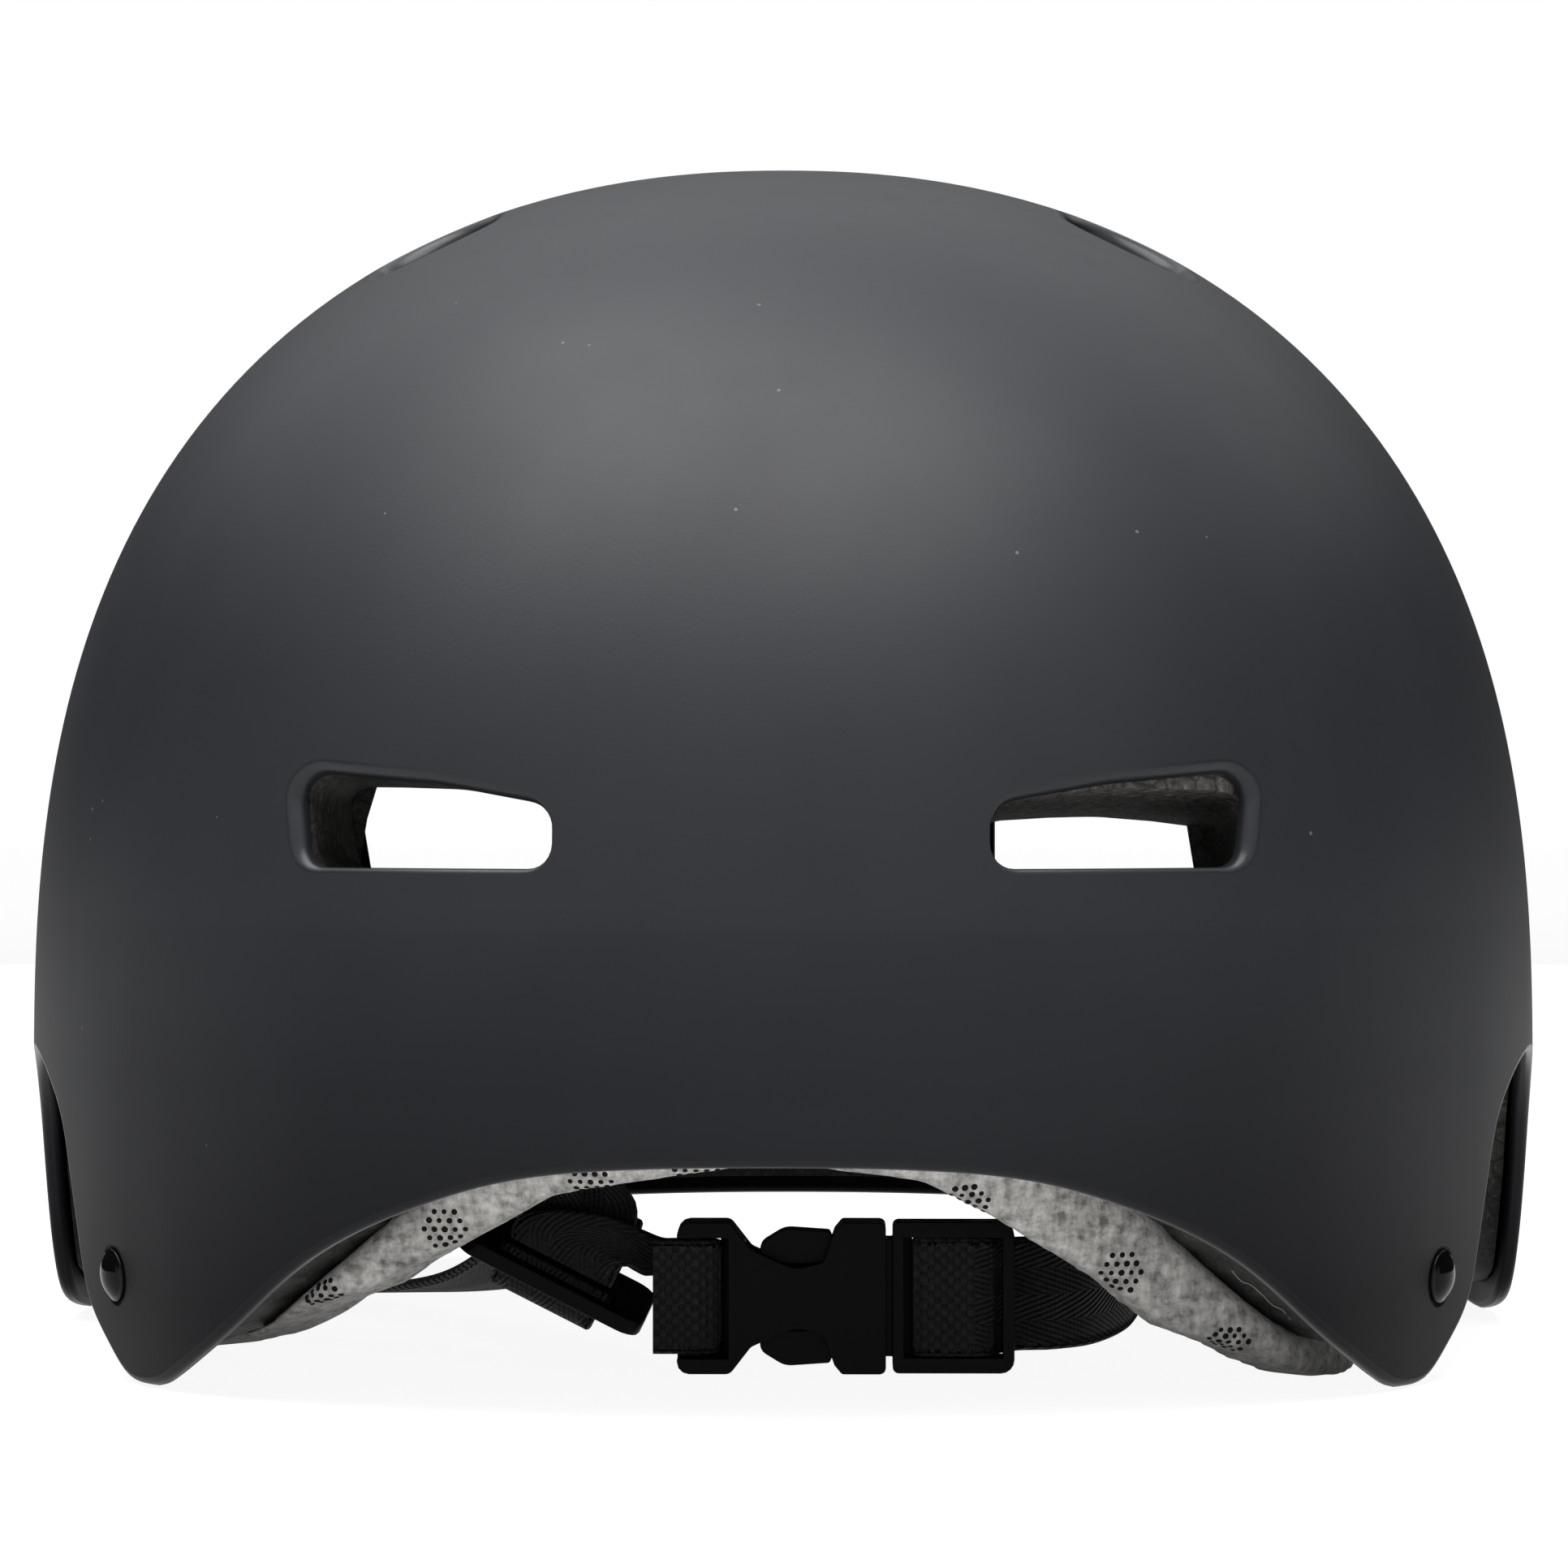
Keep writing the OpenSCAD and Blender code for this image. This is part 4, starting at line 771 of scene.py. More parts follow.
def padMesh(phi0, phi1, low, high, thick, cols, rows, fill=((0, 1),), slim=0.0, corner=10, spread=None):
    u, v = np.meshgrid(np.linspace(0, 1, cols + 1), np.linspace(0, 1, rows + 1))
    phi = phi0 + (phi1 - phi0) * u
    share = 0.5 + (v - 0.5) * (1 - 0.35 * np.abs(2 * u - 1) ** corner)
    z = table(low, phi) * (1 - share) + table(high, phi) * share
    full = thick * table(fill, phi)
    crown = (1 - np.abs(2 * u - 1) ** 8).clip(0) ** 0.6 * (1 - np.abs(2 * v - 1) ** 3.5).clip(0) ** 0.6
    t = pads["edge"] + (full - pads["edge"]) * crown
    lift = 0.25 * (full - t)
    angle = np.radians(phi)
    s = sAt(angle, z)
    front = onDome(angle, s, padOut + lift + slim).reshape(-1, 3)
    back = onDome(angle, s, padOut + lift + t - slim).reshape(-1, 3)
    if spread:
        outward = unitRows(domeNormal(angle, s).reshape(-1, 3) * np.array([1, 1, 0]))
        room = roomUnder(front, outward, table(spread, phi).ravel()).reshape(phi.shape)
        for _ in range(3):
            room[:, 1:-1] = (room[:, :-2] + 2 * room[:, 1:-1] + room[:, 2:]) / 4
            room[1:-1] = (room[:-2] + 2 * room[1:-1] + room[2:]) / 4
        front += room.reshape(-1, 1) * outward
        back += pads["backShare"] * room.reshape(-1, 1) * outward
    n, c = len(front), cols + 1
    faces = []
    for j in range(rows):
        for a in range(j * c, j * c + cols):
            faces += [(a, a + 1, a + c + 1, a + c), (n + a, n + a + c, n + a + c + 1, n + a + 1)]
    border = list(range(c)) + [j * c + cols for j in range(1, rows + 1)] + \
        [rows * c + i for i in range(cols - 1, -1, -1)] + [j * c for j in range(rows - 1, 0, -1)]
    faces += [(a, n + a, n + b, b) for a, b in zip(border, border[1:] + border[:1])]
    return np.vstack([front, back]), faces


def coordinates(mesh):
    found = np.empty(len(mesh.vertices) * 3)
    mesh.vertices.foreach_get("co", found)
    return found.reshape(-1, 3)


# Swells a pad with cloth pressure, moving no point further than the cap
def swell(obj, voxel, cap):
    press = {"pressure": 4.0, "quality": 5, "tension": 25, "bending": 2, "frames": 20, "soften": 4}
    recalc(obj)
    remesh = obj.modifiers.new("voxels", "REMESH")
    remesh.mode, remesh.voxel_size, remesh.use_smooth_shade = "VOXEL", voxel * mm, True
    applyAll(obj)
    rest = coordinates(obj.data)
    cloth = obj.modifiers.new("fill", "CLOTH")
    cloth.settings.use_pressure = True
    cloth.settings.uniform_pressure_force = press["pressure"]
    cloth.settings.effector_weights.gravity = 0
    cloth.settings.quality = press["quality"]
    cloth.settings.tension_stiffness, cloth.settings.bending_stiffness = press["tension"], press["bending"]
    cloth.point_cache.frame_start, cloth.point_cache.frame_end = 1, press["frames"]
    for frameNumber in range(1, press["frames"] + 1):
        scene.frame_set(frameNumber)
    step = coordinates(obj.evaluated_get(bpy.context.evaluated_depsgraph_get()).data) - rest
    obj.modifiers.remove(cloth)
    scene.frame_set(1)
    step *= np.minimum(1, cap * mm / np.maximum(np.linalg.norm(step, axis=1, keepdims=True), 1e-9))
    obj.data.vertices.foreach_set("co", (rest + step).ravel())
    obj.data.update()
    soften = obj.modifiers.new("soften", "SMOOTH")
    soften.factor, soften.iterations = 0.5, press["soften"]
    finer = obj.modifiers.new("finer", "SUBSURF")
    finer.levels = finer.render_levels = 1
    applyAll(obj)
    obj.data.polygons.foreach_set("use_smooth", [True] * len(obj.data.polygons))
    return obj


def fitPad(name, points, faces, voxel=1.8, cap=1.4, fill=0.55):
    pad = place(swell(makeObject(name, points, faces, "pad"), voxel, cap), "helmet", "pad")
    return pad


browPad = fitPad("browPad", *padMesh(-74, 65.5, browHem, browHead, 9, 150, 36, browFill, 0.2, 26, browSpread),
                 voxel=1.05, cap=0.9)
fitPad("napePad", *padMesh(134, 226, [(134, 26), (180, 17), (226, 26)], [(134, 50), (180, 54), (226, 50)], 9, 70, 20,
                           slim=0.35))
for side, phi in (("Left", -94.0), ("Right", 94.0)):
    fitPad("sidePad" + side, *padMesh(
        phi - 15, phi + 15, [(phi - 15, 58.1), (phi, 55.1), (phi + 15, 58.1)],
        [(phi - 15, 84), (phi, 88), (phi + 15, 84)], 7, 30, 24, slim=0.35))


# Small repeated marks set on a surface: points carry their facing and their direction
def markTree():
    tree = bpy.data.node_groups.new("repeatedMarks", "GeometryNodeTree")
    given = {"Length": "Float", "Width": "Float", "Height": "Float", "Variation": "Float", "Seed": "Int",
             "Finish": "Material"}
    for title, kind in {"Geometry": "Geometry", **given}.items():
        tree.interface.new_socket(title, in_out="INPUT", socket_type="NodeSocket" + kind)
    tree.interface.new_socket("Geometry", in_out="OUTPUT", socket_type="NodeSocketGeometry")
    given = addNode(tree, "NodeGroupInput").outputs

    def made(kind, inputs, **settings):
        return addNode(tree, kind, inputs, **settings).outputs[0]

    facing, along = [made("GeometryNodeInputNamedAttribute", {"Name": title}, data_type="FLOAT_VECTOR")
                     for title in ("facing", "along")]
    stand = made("FunctionNodeAlignRotationToVector", {"Vector": facing}, axis="Z")
    turn = made("FunctionNodeAlignRotationToVector", {"Rotation": stand, "Vector": along}, axis="X", pivot_axis="Z")
    vary = addNode(tree, "FunctionNodeRandomValue", {
        2: maths(tree, "SUBTRACT", 1.0, given["Variation"]), 3: maths(tree, "ADD", 1.0, given["Variation"]),
        "Seed": given["Seed"]}, data_type="FLOAT").outputs[1]
    size = made("ShaderNodeCombineXYZ", {"X": given["Length"], "Y": given["Width"], "Z": given["Height"]})
    scaled = made("ShaderNodeVectorMath", {0: size, "Scale": vary}, operation="SCALE")
    ball = made("GeometryNodeMeshIcoSphere", {"Radius": 0.5, "Subdivisions": 2})
    copies = made("GeometryNodeInstanceOnPoints",
                  {"Points": given["Geometry"], "Instance": ball, "Rotation": turn, "Scale": scaled})
    real = made("GeometryNodeRealizeInstances", {"Geometry": copies})
    smooth = made("GeometryNodeSetShadeSmooth", {"Geometry": real})
    dressedMarks = made("GeometryNodeSetMaterial", {"Geometry": smooth, "Material": given["Finish"]})
    addNode(tree, "NodeGroupOutput", {0: dressedMarks})
    return tree


markNodes = markTree()


def marks(name, places, facing, along, look):
    mesh = bpy.data.meshes.new(name)
    mesh.from_pydata([tuple(q) for q in places], [], [])
    for title, rows in (("facing", facing), ("along", along)):
        rows = np.asarray(rows, float).ravel()
        mesh.attributes.new(title, "FLOAT_VECTOR", "POINT").data.foreach_set("vector", rows)
    obj = newObject(name, mesh)
    modifier = obj.modifiers.new("marks", "NODES")
    modifier.node_group = markNodes
    for item in markNodes.interface.items_tree:
        if item.in_out == "INPUT" and item.name in look:
            modifier[item.identifier] = look[item.name]
    return applyAll(obj)


# The photo's viewpoint
view = {"eye": Vector((0.0098, -0.8024, 0.0783)), "turn": math.radians(0.7), "lens": 126.7, "sensor": 36}


# Perforations of the brow pad: clusters of fine holes
def perforate(pad, clusters):
    look = {"Length": 0.00078, "Width": 0.00078, "Height": 0.0002, "Variation": 0.15, "Seed": 7,
            "Finish": finishes["holes"], "pitch": 1.36, "rowPitch": 0.87, "reach": 3.3}
    tree = BVHTree.FromObject(pad, bpy.context.evaluated_depsgraph_get())
    places, facing, along = [], [], []
    for cluster in clusters:
        centre, n, _, _ = tree.ray_cast(view["eye"], (Vector(cluster) * mm - view["eye"]).normalized())
        if centre is None:
            centre, n, _, _ = tree.find_nearest(Vector(cluster) * mm)
        a = Vector((0, 0, 1)).cross(n).normalized()
        b = n.cross(a)
        for i in range(-4, 5):
            for j in range(-4, 5):
                u, v = look["pitch"] * (i + 0.5 * (j % 2)), look["pitch"] * look["rowPitch"] * j
                if math.hypot(u, v) < look["reach"]:
                    spot, m, _, _ = tree.find_nearest(centre + (u * a + v * b) * mm)
                    places.append(spot)
                    facing.append(m)
                    along.append(a)
    place(marks("browPadHoles", places, facing, along, look), "helmet", "pad", False)


perforate(browPad, [(-60.8, -68.6, 10.2), (-42.7, -90.7, 20.8), (-23.3, -102.8, 27.8), (-9.8, -105.9, 28.7),
                    (24.5, -102.3, 24.7), (44.6, -90.7, 15.3), (59.6, -72.9, 4.6)])


# A loose fibre caught on the foam beside the brow pad, laid where the photo shows it
def lintFibre():
    look = {"middle": 966, "focal": 6800, "radius": 0.00008, "lift": 0.0003,
            "seenAt": [(1518, 1566), (1530, 1579), (1541, 1583), (1556, 1596), (1568, 1608), (1580, 1614),
                       (1590, 1626)]}
    spots = []
    for x, y in look["seenAt"]:
        across, rise = (x - look["middle"]) / look["focal"], (look["middle"] - y) / look["focal"]
        c, s = math.cos(view["turn"]), math.sin(view["turn"])
        aim = Vector((across * c - s, across * s + c, rise)).normalized()
        spot = linerTree.ray_cast(view["eye"], aim)[0]
        if spot is not None:
            spots.append(spot - look["lift"] * aim)
    curve = bpy.data.curves.new("lintFibre", "CURVE")
    curve.dimensions, curve.bevel_depth, curve.bevel_resolution, curve.use_fill_caps = "3D", look["radius"], 2, True
    line = curve.splines.new("POLY")
    run = spline(spots, 6)
    line.points.add(len(run) - 1)
    line.points.foreach_set("co", np.hstack([run, np.ones((len(run), 1))]).ravel())
    source = newObject("lintCurve", curve)
    mesh = finalMesh(source)
    bpy.data.objects.remove(source)
    mesh.materials.clear()
    mesh.materials.append(finishes["lint"])
    fibre = newObject("lintFibre", mesh)
    recalc(fibre)
    place(fibre, "helmet", "foam", False)


lintFibre()


# The crown pad: a round cushion under the dome's top
def crownPadMesh():
    size = {"columns": 72, "reach": 0.2, "edge": 2.6, "thick": 7, "slim": 0.5, "off": 0.3}
    ss = 1 - size["reach"] * np.linspace(1, 0, 16)[:-1] ** 1.1
    cols = size["columns"]
    angle = np.linspace(0, 2 * math.pi, cols, endpoint=False)
    crown = (1 - ((1 - ss) / (size["reach"] + 0.0001)) ** 6).clip(0) ** 0.6
    thick = size["edge"] + (size["thick"] - size["edge"]) * crown
    top = pads["linerIn"] + pads["seat"] + size["off"]
    near = np.vstack([onDome(angle, s, np.full(cols, top)) for s in ss])
    far = np.vstack([onDome(angle, s, np.full(cols, top + t - size["slim"])) for s, t in zip(ss, thick)])
    n, m = len(near), len(ss)
    points = np.vstack([near, far, [onDome(0.0, 1.0, top)], [onDome(0.0, 1.0, top + size["thick"] - size["slim"])]])
    faces = []
    for i in range(cols):
        k = (i + 1) % cols
        for j in range(m - 1):
            a, b = j * cols + i, j * cols + k
            faces += [(a, b, b + cols, a + cols), (n + a, n + a + cols, n + b + cols, n + b)]
        faces += [(i, n + i, n + k, k), (n - cols + i, n - cols + k, 2 * n),
                  (2 * n - cols + k, 2 * n - cols + i, 2 * n + 1)]
    return points, faces


fitPad("crownPad", *crownPadMesh())
print("pads")


# Webbing, swept along stations of place, width direction and width, as in the part
strapSize = {"width": 15.0, "thick": 1.4, "gap": 0.3, "corner": 0.62, "steps": 10}
sliderT, sliderSlot, sliderBar = 2.2, 4.2, 3.6
buckle = {"y": -70.0, "z": 10.4, "socketX0": -13.25, "plugX0": 15.25, "plugLength": 16.1, "barW": 3.2, "barT": 3.4,
          "ladderW": 6.4, "ladderT": 2.6}
webDepth = dome["wall"] + 1.0
width, thick, gap = strapSize["width"], strapSize["thick"], strapSize["gap"]


def strap(name, stations, runs, sheared=False, stretch=(0, 1)):
    steps = strapSize["steps"]
    p = spline([q[0] for q in stations], steps)
    d = spline([unitRows(np.array(q[1], float)) for q in stations], steps)
    wide = spline([np.array([q[2] if len(q) > 2 else width]) for q in stations], steps)[:, 0]
    t = unitRows(np.vstack([p[1:], p[-1:]]) - np.vstack([p[:1], p[:-1]]))
    w = unitRows(d if sheared else d - (d * t).sum(-1, keepdims=True) * t)
    n = unitRows(np.cross(t, w))
    half, r = thick / 2, strapSize["corner"]
    section = []
    for side in (1, -1):
        for a in np.radians(np.linspace(90, -90, 9)):
            section.append((side, r * math.cos(a) - r, side * half * math.sin(a)))
        for e in side * np.linspace(0.94, -0.94, 13):
            section.append((e, 0, -side * half))
    run = arcLength(p)
    share = run / run[-1]
    keep = slice(int(np.searchsorted(share, stretch[0])), int(np.searchsorted(share, stretch[1])) + 1)
    p, w, n, wide, run, share = [rows[keep] for rows in (p, w, n, wide, run, share)]
    points, uvs = [], []
    for e, inset, up in section:
        across = (e * wide / 2)[:, None] + np.sign(e) * inset
        points.append(p + across * w + up * n)
        uvs.append(np.stack([run, across[:, 0] + (40 if up < 0 else 0)], -1))
    m, c = len(p), len(section)
    points = np.stack(points, 1).reshape(-1, 3)
    uvs = np.stack(uvs, 1).reshape(-1, 2)
    faces = [(j * c + i, j * c + (i + 1) % c, (j + 1) * c + (i + 1) % c, (j + 1) * c + i)
             for j in range(m - 1) for i in range(c)]
    faces += [tuple(range(c))[::-1], tuple((m - 1) * c + i for i in range(c))]
    obj = makeObject(name, points, faces, runs[0][1], uvs)
    for _, finishName in runs[1:]:
        obj.data.materials.append(finishes[finishName])
    rowOf = np.minimum(np.arange(len(obj.data.polygons)) // c, m - 1)
    picks = np.zeros(len(rowOf), int)
    for i, (startShare, _) in enumerate(runs):
        picks[share[rowOf] >= startShare] = i
    obj.data.polygons.foreach_set("material_index", picks)
    recalc(obj)
    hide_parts(nodeOf(name.replace("End", "")))
    return obj


# A point in a slider's own frame: along its bar, across the bar and out of its face
def at(f, q):
    return f[0] + q[0] * f[1] + q[1] * f[2] + q[2] * np.cross(f[1], f[2])


# Stations there; the webbing's width runs along the bar or, with way -1, against it
def threaded(f, way, *spots):
    return [(at(f, q), way * f[1]) for q in spots]


tilt, lean = math.radians(27), math.radians(12)
sliderLeft = (np.array([-29.5, buckle["y"] + 4, 13.4]), np.array([math.cos(tilt), 0, -math.sin(tilt)]),
              np.array([math.sin(tilt) * math.sin(lean), math.cos(lean), math.cos(tilt) * math.sin(lean)]))
sliderRight = (np.array([60, 22, 13.9]), np.array([0, 0, 1.0]), unitRows(np.array([0.64, 0.77, 0])))
innerLane = sliderBar / 2 + 0.55 + thick / 2
outerLane = innerLane + thick + gap
slotMid = sliderBar / 2 + sliderSlot / 2
up = np.array([0, 0, 1.0])
# Steps along a strap and towards the outside, after its rivet
rearEnd, frontEnd = [(8, 0), (13.4, -1), (17.4, -4)], [(8, 0), (15, -1)]


# Stations at the rivet's end of a strap, under the shell
def anchored(side, spot, turn, after):
    c, n, h, u = spotOn(side * spot[0], spot[1])
    turn = math.radians(side * turn)
    t = -math.cos(turn) * u + math.sin(turn) * h
    w = np.cross(n, t)
    p = c - (webDepth + thick / 2) * n
    return [(p - 7.5 * t, w), (p, w)] + [(p + a * t + b * n, w) for a, b in after]


# Down through the first slot, round under the bar and up through the second one
def sliderLoop(f):
    middle, r = (innerLane - slotMid) / 2, (innerLane + slotMid) / 2
    turn = [(0, middle + r * math.cos(a), -sliderT / 2 - r * math.sin(a)) for a in np.radians(45.0 * np.arange(5))]
    return threaded(f, 1, (0, innerLane, sliderT / 2 + 0.6), *turn, (0, -slotMid, sliderT / 2 + 0.4))


def secondLayer(f, side, way):
    return threaded(f, way, *[(0, outerLane, side * c) for c in (sliderT / 2 + 0.6, -sliderT / 2 - 1.6)])


rearStrapLeft = strap("rearStrapLeft", anchored(-1, rivetSpots[1], 0, rearEnd) + [
    ((-78, 70, 2.4), (-0.7, -0.7, 0)), ((-74.5, 52, 2.4), (-1, -0.2, 0)), ((-69, 34, 2.6), (-0.94, -0.34, 0)),
    ((-57, 15, 3.6), (-0.84, -0.54, 0.04)), ((-43, -8, 7), (-0.86, -0.5, 0.08)),
    ((-33, -30, 13.4), (-0.92, -0.34, 0.18)), ((-27.4, -46, 19.4), (-0.93, -0.14, 0.34))]
    + threaded(sliderLeft, -1, (0, 10, 7.8), (0, 6.4, 6.6), (0, outerLane + 0.4, 4.4))
    + secondLayer(sliderLeft, 1, -1), [(0, "herringbone"), (0.86, "ribbed")])
frontStrapLeft = strap("frontStrapLeft", anchored(-1, rivetSpots[0], 76, frontEnd) + [
    ((-90, -48, 9.3), -up), ((-89, -35, 9.6), -up), ((-83, -24, 10.6), (0.1, 0.1, -1)),
    ((-72, -20, 14), (0.1, 0.4, -0.92)), ((-59, -25, 20), (0.3, 0.55, -0.78)), ((-47, -38, 26.6), (0.55, 0.5, -0.67)),
    ((-38, -48, 30), (0.8, 0.3, -0.52)), ((-31.6, -57.5, 29.4), (0.88, 0.1, -0.46))]
    + threaded(sliderLeft, 1, (-1.2, 3.6, 8.4), (0, innerLane, 4.4)) + sliderLoop(sliderLeft), [(0, "herringbone")])
y0 = buckle["y"] - buckle["barT"] / 2 - gap - thick / 2
y1 = 2 * buckle["y"] - y0
x0, bz = buckle["socketX0"], buckle["z"]
midX, r = x0 + buckle["barW"] - 0.6, (y1 - y0) / 2
chinStrapLeft = strap("chinStrapLeft", [((x0 - 3.2, y0, bz), up), ((x0 + 1, y0, bz), up)] + [
    ((midX + r * math.cos(math.radians(a)), buckle["y"] + r * math.sin(math.radians(a)), bz), up)
    for a in (-90, -45, 0, 45, 90)] + [
    ((x0 - 0.2, y1, bz + 0.1), up, width - 0.3), ((x0 - 2.2, y1 - 0.1, bz + 4.5), (-0.1, 0, 1), width * 0.42),
    ((x0 - 5.6, y1 - 0.6, bz + 5.9), (-0.25, -0.05, 0.9), width * 0.48),
    ((x0 - 9.6, y1 - 2.4, bz + 7.4), (-0.6, -0.05, 0.7), width * 0.64)]
    + threaded(sliderLeft, -1, (0, -slotMid, sliderT / 2 + 4.6), (0, -slotMid, sliderT / 2 + 1.5)),
    [(0, "ribbed"), (0.5, "herringbone")], True)
rearStrapRight = strap("rearStrapRight", anchored(1, rivetSpots[1], 0, rearEnd) + [
    ((78, 70, 2.4), (-0.7, 0.7, 0)), ((74.5, 54, 3), (-0.95, 0.25, 0.1)), ((70, 44.5, 7), (-0.7, 0.3, 0.65)),
    ((64, 38.5, 11), (-0.1, 0.1, 1))] + threaded(sliderRight, 1, (0, 7.4, 9), (0, 4, 7), (0, innerLane, 4))
    + sliderLoop(sliderRight), [(0, "herringbone")])
frontStrapRight = strap("frontStrapRight", anchored(1, rivetSpots[0], 76, frontEnd) + [
    ((90, -48, 9.3), up), ((91, -34, 9.6), up), ((90, -20, 10), up), ((86, -7.4, 10.4), up),
    ((77.4, 2.6, 11), up), ((72, 12.6, 12.6), up)] + threaded(sliderRight, 1, (0, outerLane + 1, -5.4))
    + secondLayer(sliderRight, -1, 1), [(0, "herringbone")])

frontY = buckle["y"] - buckle["ladderT"] / 2 - gap - thick / 2
backY = 2 * buckle["y"] - frontY
mid = buckle["plugX0"] + buckle["plugLength"] / 2
halfLadder = buckle["ladderW"] / 2
gapX = halfLadder + gap + 0.6 + thick / 2
route = [(21.4, 22), (18.8, 12), (14.6, 5), (9.4, 2.5), (4.6, 1.9), (1 - halfLadder, 0.5), (0.5 - gapX, -0.6)]
route = [(mid + a, backY + b) for a, b in route]
route += [(mid - gapX, buckle["y"]), (mid - gapX + 0.5, frontY + 0.6), (mid - halfLadder + 0.8, frontY),
          (mid + halfLadder - 0.8, frontY), (mid + gapX - 0.5, frontY + 0.6), (mid + gapX, buckle["y"]),
          (mid + gapX + 1.2, backY - 0.4)]
route += [(mid + a, backY + b) for a, b in ((8.6, 0.1), (13.6, 1.8), (19, 8), (24, 24), (27, 48), (28, 68))]
stations = [((x, y, bz + (sliderRight[0][2] - bz) * (max(0, i - 15) / 5) ** 2), up,
             width + (0.7 if 4 < i < 14 else 0)) for i, (x, y) in enumerate(route)]
stations += threaded(sliderRight, 1, (0, -slotMid - 2.6, 6), (0, -slotMid, sliderT / 2 + 1.1))
chinRuns = [(0, "herringbone"), (0.19, "ribbed"), (0.31, "herringbone")]
chinStrapRight = strap("chinStrapRight", stations, chinRuns, stretch=(0, 0.8))
chinStrapRightEnd = strap("chinStrapRightEnd", stations, chinRuns[2:], stretch=(0.8, 1))
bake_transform(chinStrapRight)


# Bakes a strap's placement into its mesh
def followSlider(piece):
    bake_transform(piece)


followSlider(frontStrapLeft)
followSlider(rearStrapLeft)
followSlider(chinStrapLeft)
followSlider(rearStrapRight)
followSlider(frontStrapRight)
followSlider(chinStrapRightEnd)
print("webbing")


# Rivets: glossy domed head in a turned profile, with a thin rim, shank and clinched tail
def rivet(name, phi, z):
    size = {"radius": 3.5, "dome": 1.5, "shank": 1.8, "tail": 3.0, "tailDepth": 6.1, "steps": 64}
    r, top, shank, tail, deep, steps = size.values()
    c, n, h, u = spotOn(phi, z)
    ball = (r ** 2 + top ** 2) / (2 * top)
    profile = [(0, 0.1 + top)]
    for k in range(1, 13):
        x = r * 0.93 * k / 12
        profile.append((x, 0.1 + math.sqrt(ball * ball - x * x) - ball + top))
    profile += [(r - 0.16, 0.34), (r - 0.03, 0.24), (r, 0.1), (r, -0.2), (r - 0.15, -0.33), (shank, -0.33),
                (shank, -deep), (tail - 0.3, -deep), (tail, -deep - 0.3), (tail - 0.2, -deep - 1.0),
                (tail - 0.7, -deep - 1.2), (0, -deep - 1.2)]
    points = [c + profile[0][1] * n]
    for x, depth in profile[1:-1]:
        for k in range(steps):
            a = 2 * math.pi * k / steps
            points.append(c + x * (math.cos(a) * h + math.sin(a) * u) + depth * n)
    points.append(c + profile[-1][1] * n)
    rings = len(profile) - 2
    faces = [(0, 1 + k, 1 + (k + 1) % steps) for k in range(steps)]
    for j in range(rings - 1):
        for k in range(steps):
            a, b = 1 + j * steps + k, 1 + j * steps + (k + 1) % steps
            faces.append((a, a + steps, b + steps, b))
    last = len(points) - 1
    faces += [(last, last - steps + (k + 1) % steps, last - steps + k) for k in range(steps)]
    obj = makeObject(name, points, faces, "rivet")
    recalc(obj)
    obj.data.set_sharp_from_angle(angle=math.radians(50))
    place(obj, "helmet", "rivet")


for side, sign in (("Left", -1), ("Right", 1)):
    for title, (phi, z) in zip(("front", "rear"), rivetSpots):
        rivet(title + "Rivet" + side, sign * phi, z)
cad["rivet_washers"].data.materials.clear()
cad["rivet_washers"].data.materials.append(finishes["washer"])
print("rivets")


# Camera level with the vents, a little to the right of the middle
camera = newObject("camera", bpy.data.cameras.new("camera"))
camera.location = view["eye"]
camera.rotation_euler = (math.radians(90), 0, view["turn"])
camera.data.sensor_width, camera.data.lens = view["sensor"], view["lens"]
camera.data.clip_start, camera.data.clip_end = 0.05, 20
scene.camera = camera
scene.view_settings.view_transform = "Standard"


# One for rays that come from the camera, straight or by way of a mirror or a clear piece
def seenRays(tree):
    rays = addNode(tree, "ShaderNodeLightPath").outputs
    return maths(tree, "MAXIMUM", maths(tree, "MAXIMUM", rays["Is Camera Ray"], rays["Is Glossy Ray"]),
                 rays["Is Transmission Ray"])


def skyFor(diffuse):
    world = bpy.data.worlds.new("studio")
    world.use_nodes = True
    tree = world.node_tree
    background = tree.nodes["Background"].inputs
    background["Color"].default_value = (1, 1, 1, 1)
    tree.links.new(plus(tree, diffuse, seenRays(tree), 1 - diffuse), background["Strength"])
    scene.world = world


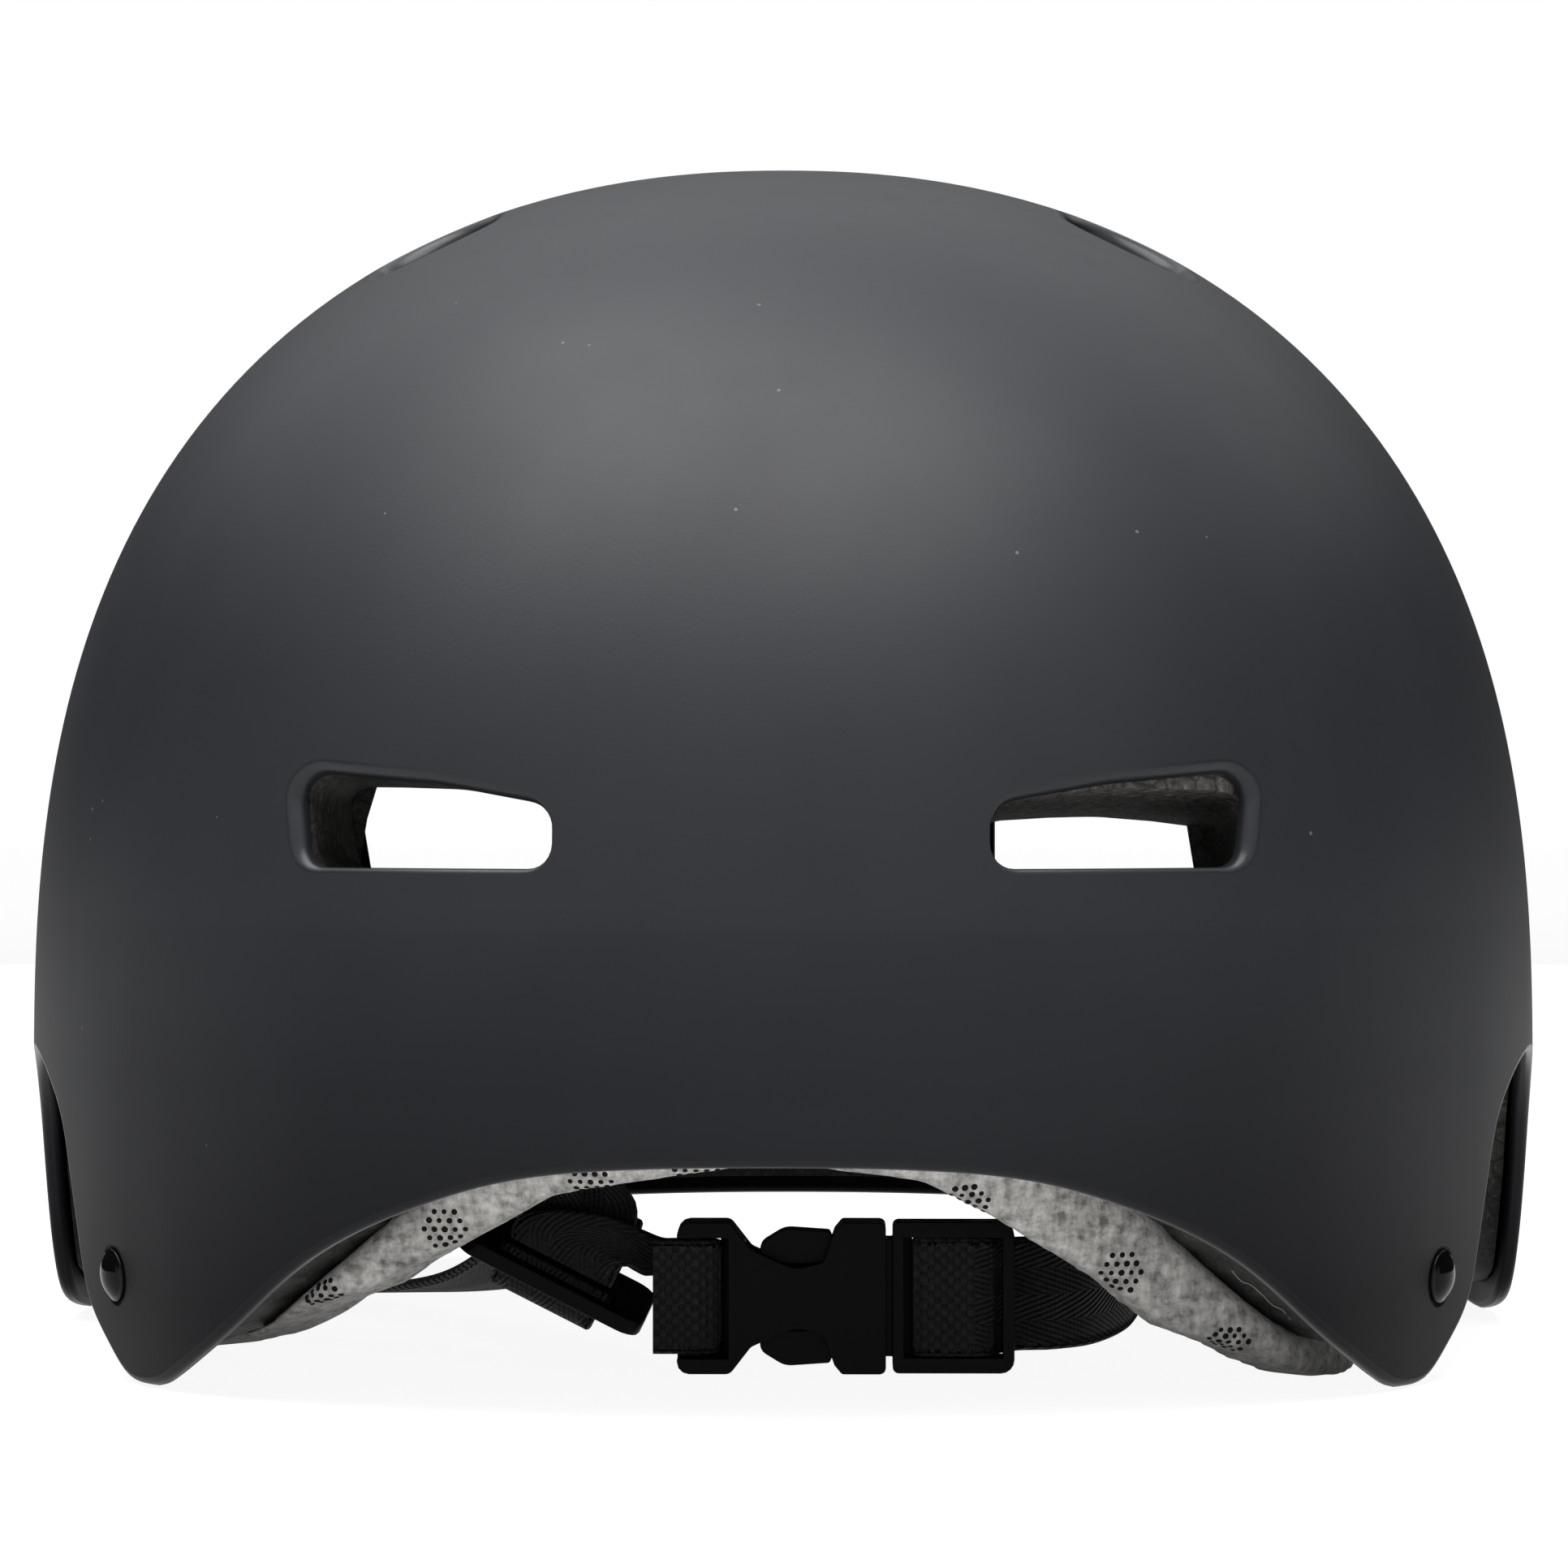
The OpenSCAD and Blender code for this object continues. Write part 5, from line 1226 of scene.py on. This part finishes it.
def softbox(name, location, target, width, height, power):
    light = bpy.data.lights.new(name, "AREA")
    light.shape, light.size, light.size_y, light.energy = "RECTANGLE", width, height, power
    obj = newObject(name, light)
    obj.location = location
    obj.rotation_euler = (Vector(target) - Vector(location)).to_track_quat("-Z", "Y").to_euler()
    obj.visible_camera = False


def stagePiece(name, points, faces, finish, level=0.0, inView=True):
    mesh = bpy.data.meshes.new(name)
    mesh.from_pydata(points, [], faces)
    mesh.materials.append(finish)
    obj = newObject(name, mesh)
    obj.location = (0, 0, level)
    obj.visible_camera = inView


# Dark cards at the sides and behind, as in a studio: the sides of the shell mirror them and not the white
def darkCards(corners, height):
    count = len(corners)
    finish = plainFinish("darkCard", (0.03, 0.03, 0.03), 0.95, 40, 0.0001, specular=0.0)
    stagePiece("darkCards", [(x, y, z) for z in (0, height) for x, y in corners],
               [(i, i + 1, count + i + 1, count + i) for i in range(count - 1)], finish, inView=False)


skyFor(0.38)
softbox("overhead", (-0.14, -0.32, 1.35), (0, 0, 0.1), 1.7, 1.25, 41)
darkCards([(-1.5, -0.75), (-1.5, 1.6), (1.5, 1.6), (1.5, -0.75)], 1.0)


# Pale matt floor that is white where the camera sees it
def floorFinish():
    look = {"matt": (0.86, 0.86, 0.86, 1), "white": (1, 1, 1, 1), "glow": 1.15, "seenShare": 0.8}
    material = bpy.data.materials.new("paleFloor")
    material.use_nodes = True
    tree = material.node_tree
    tree.nodes.remove(tree.nodes["Principled BSDF"])
    matt = addNode(tree, "ShaderNodeBsdfDiffuse", {"Color": look["matt"]})
    glow = addNode(tree, "ShaderNodeEmission", {"Color": look["white"], "Strength": look["glow"]})
    share = maths(tree, "MULTIPLY", seenRays(tree), look["seenShare"])
    mixed = addNode(tree, "ShaderNodeMixShader", {0: share, 1: matt.outputs[0], 2: glow.outputs[0]})
    tree.links.new(mixed.outputs[0], tree.nodes["Material Output"].inputs["Surface"])
    return material


stagePiece("floor", [(-6, -6, 0), (6, -6, 0), (6, 6, 0), (-6, 6, 0)], [(0, 1, 2, 3)], floorFinish(), -0.0002)
print("studio")
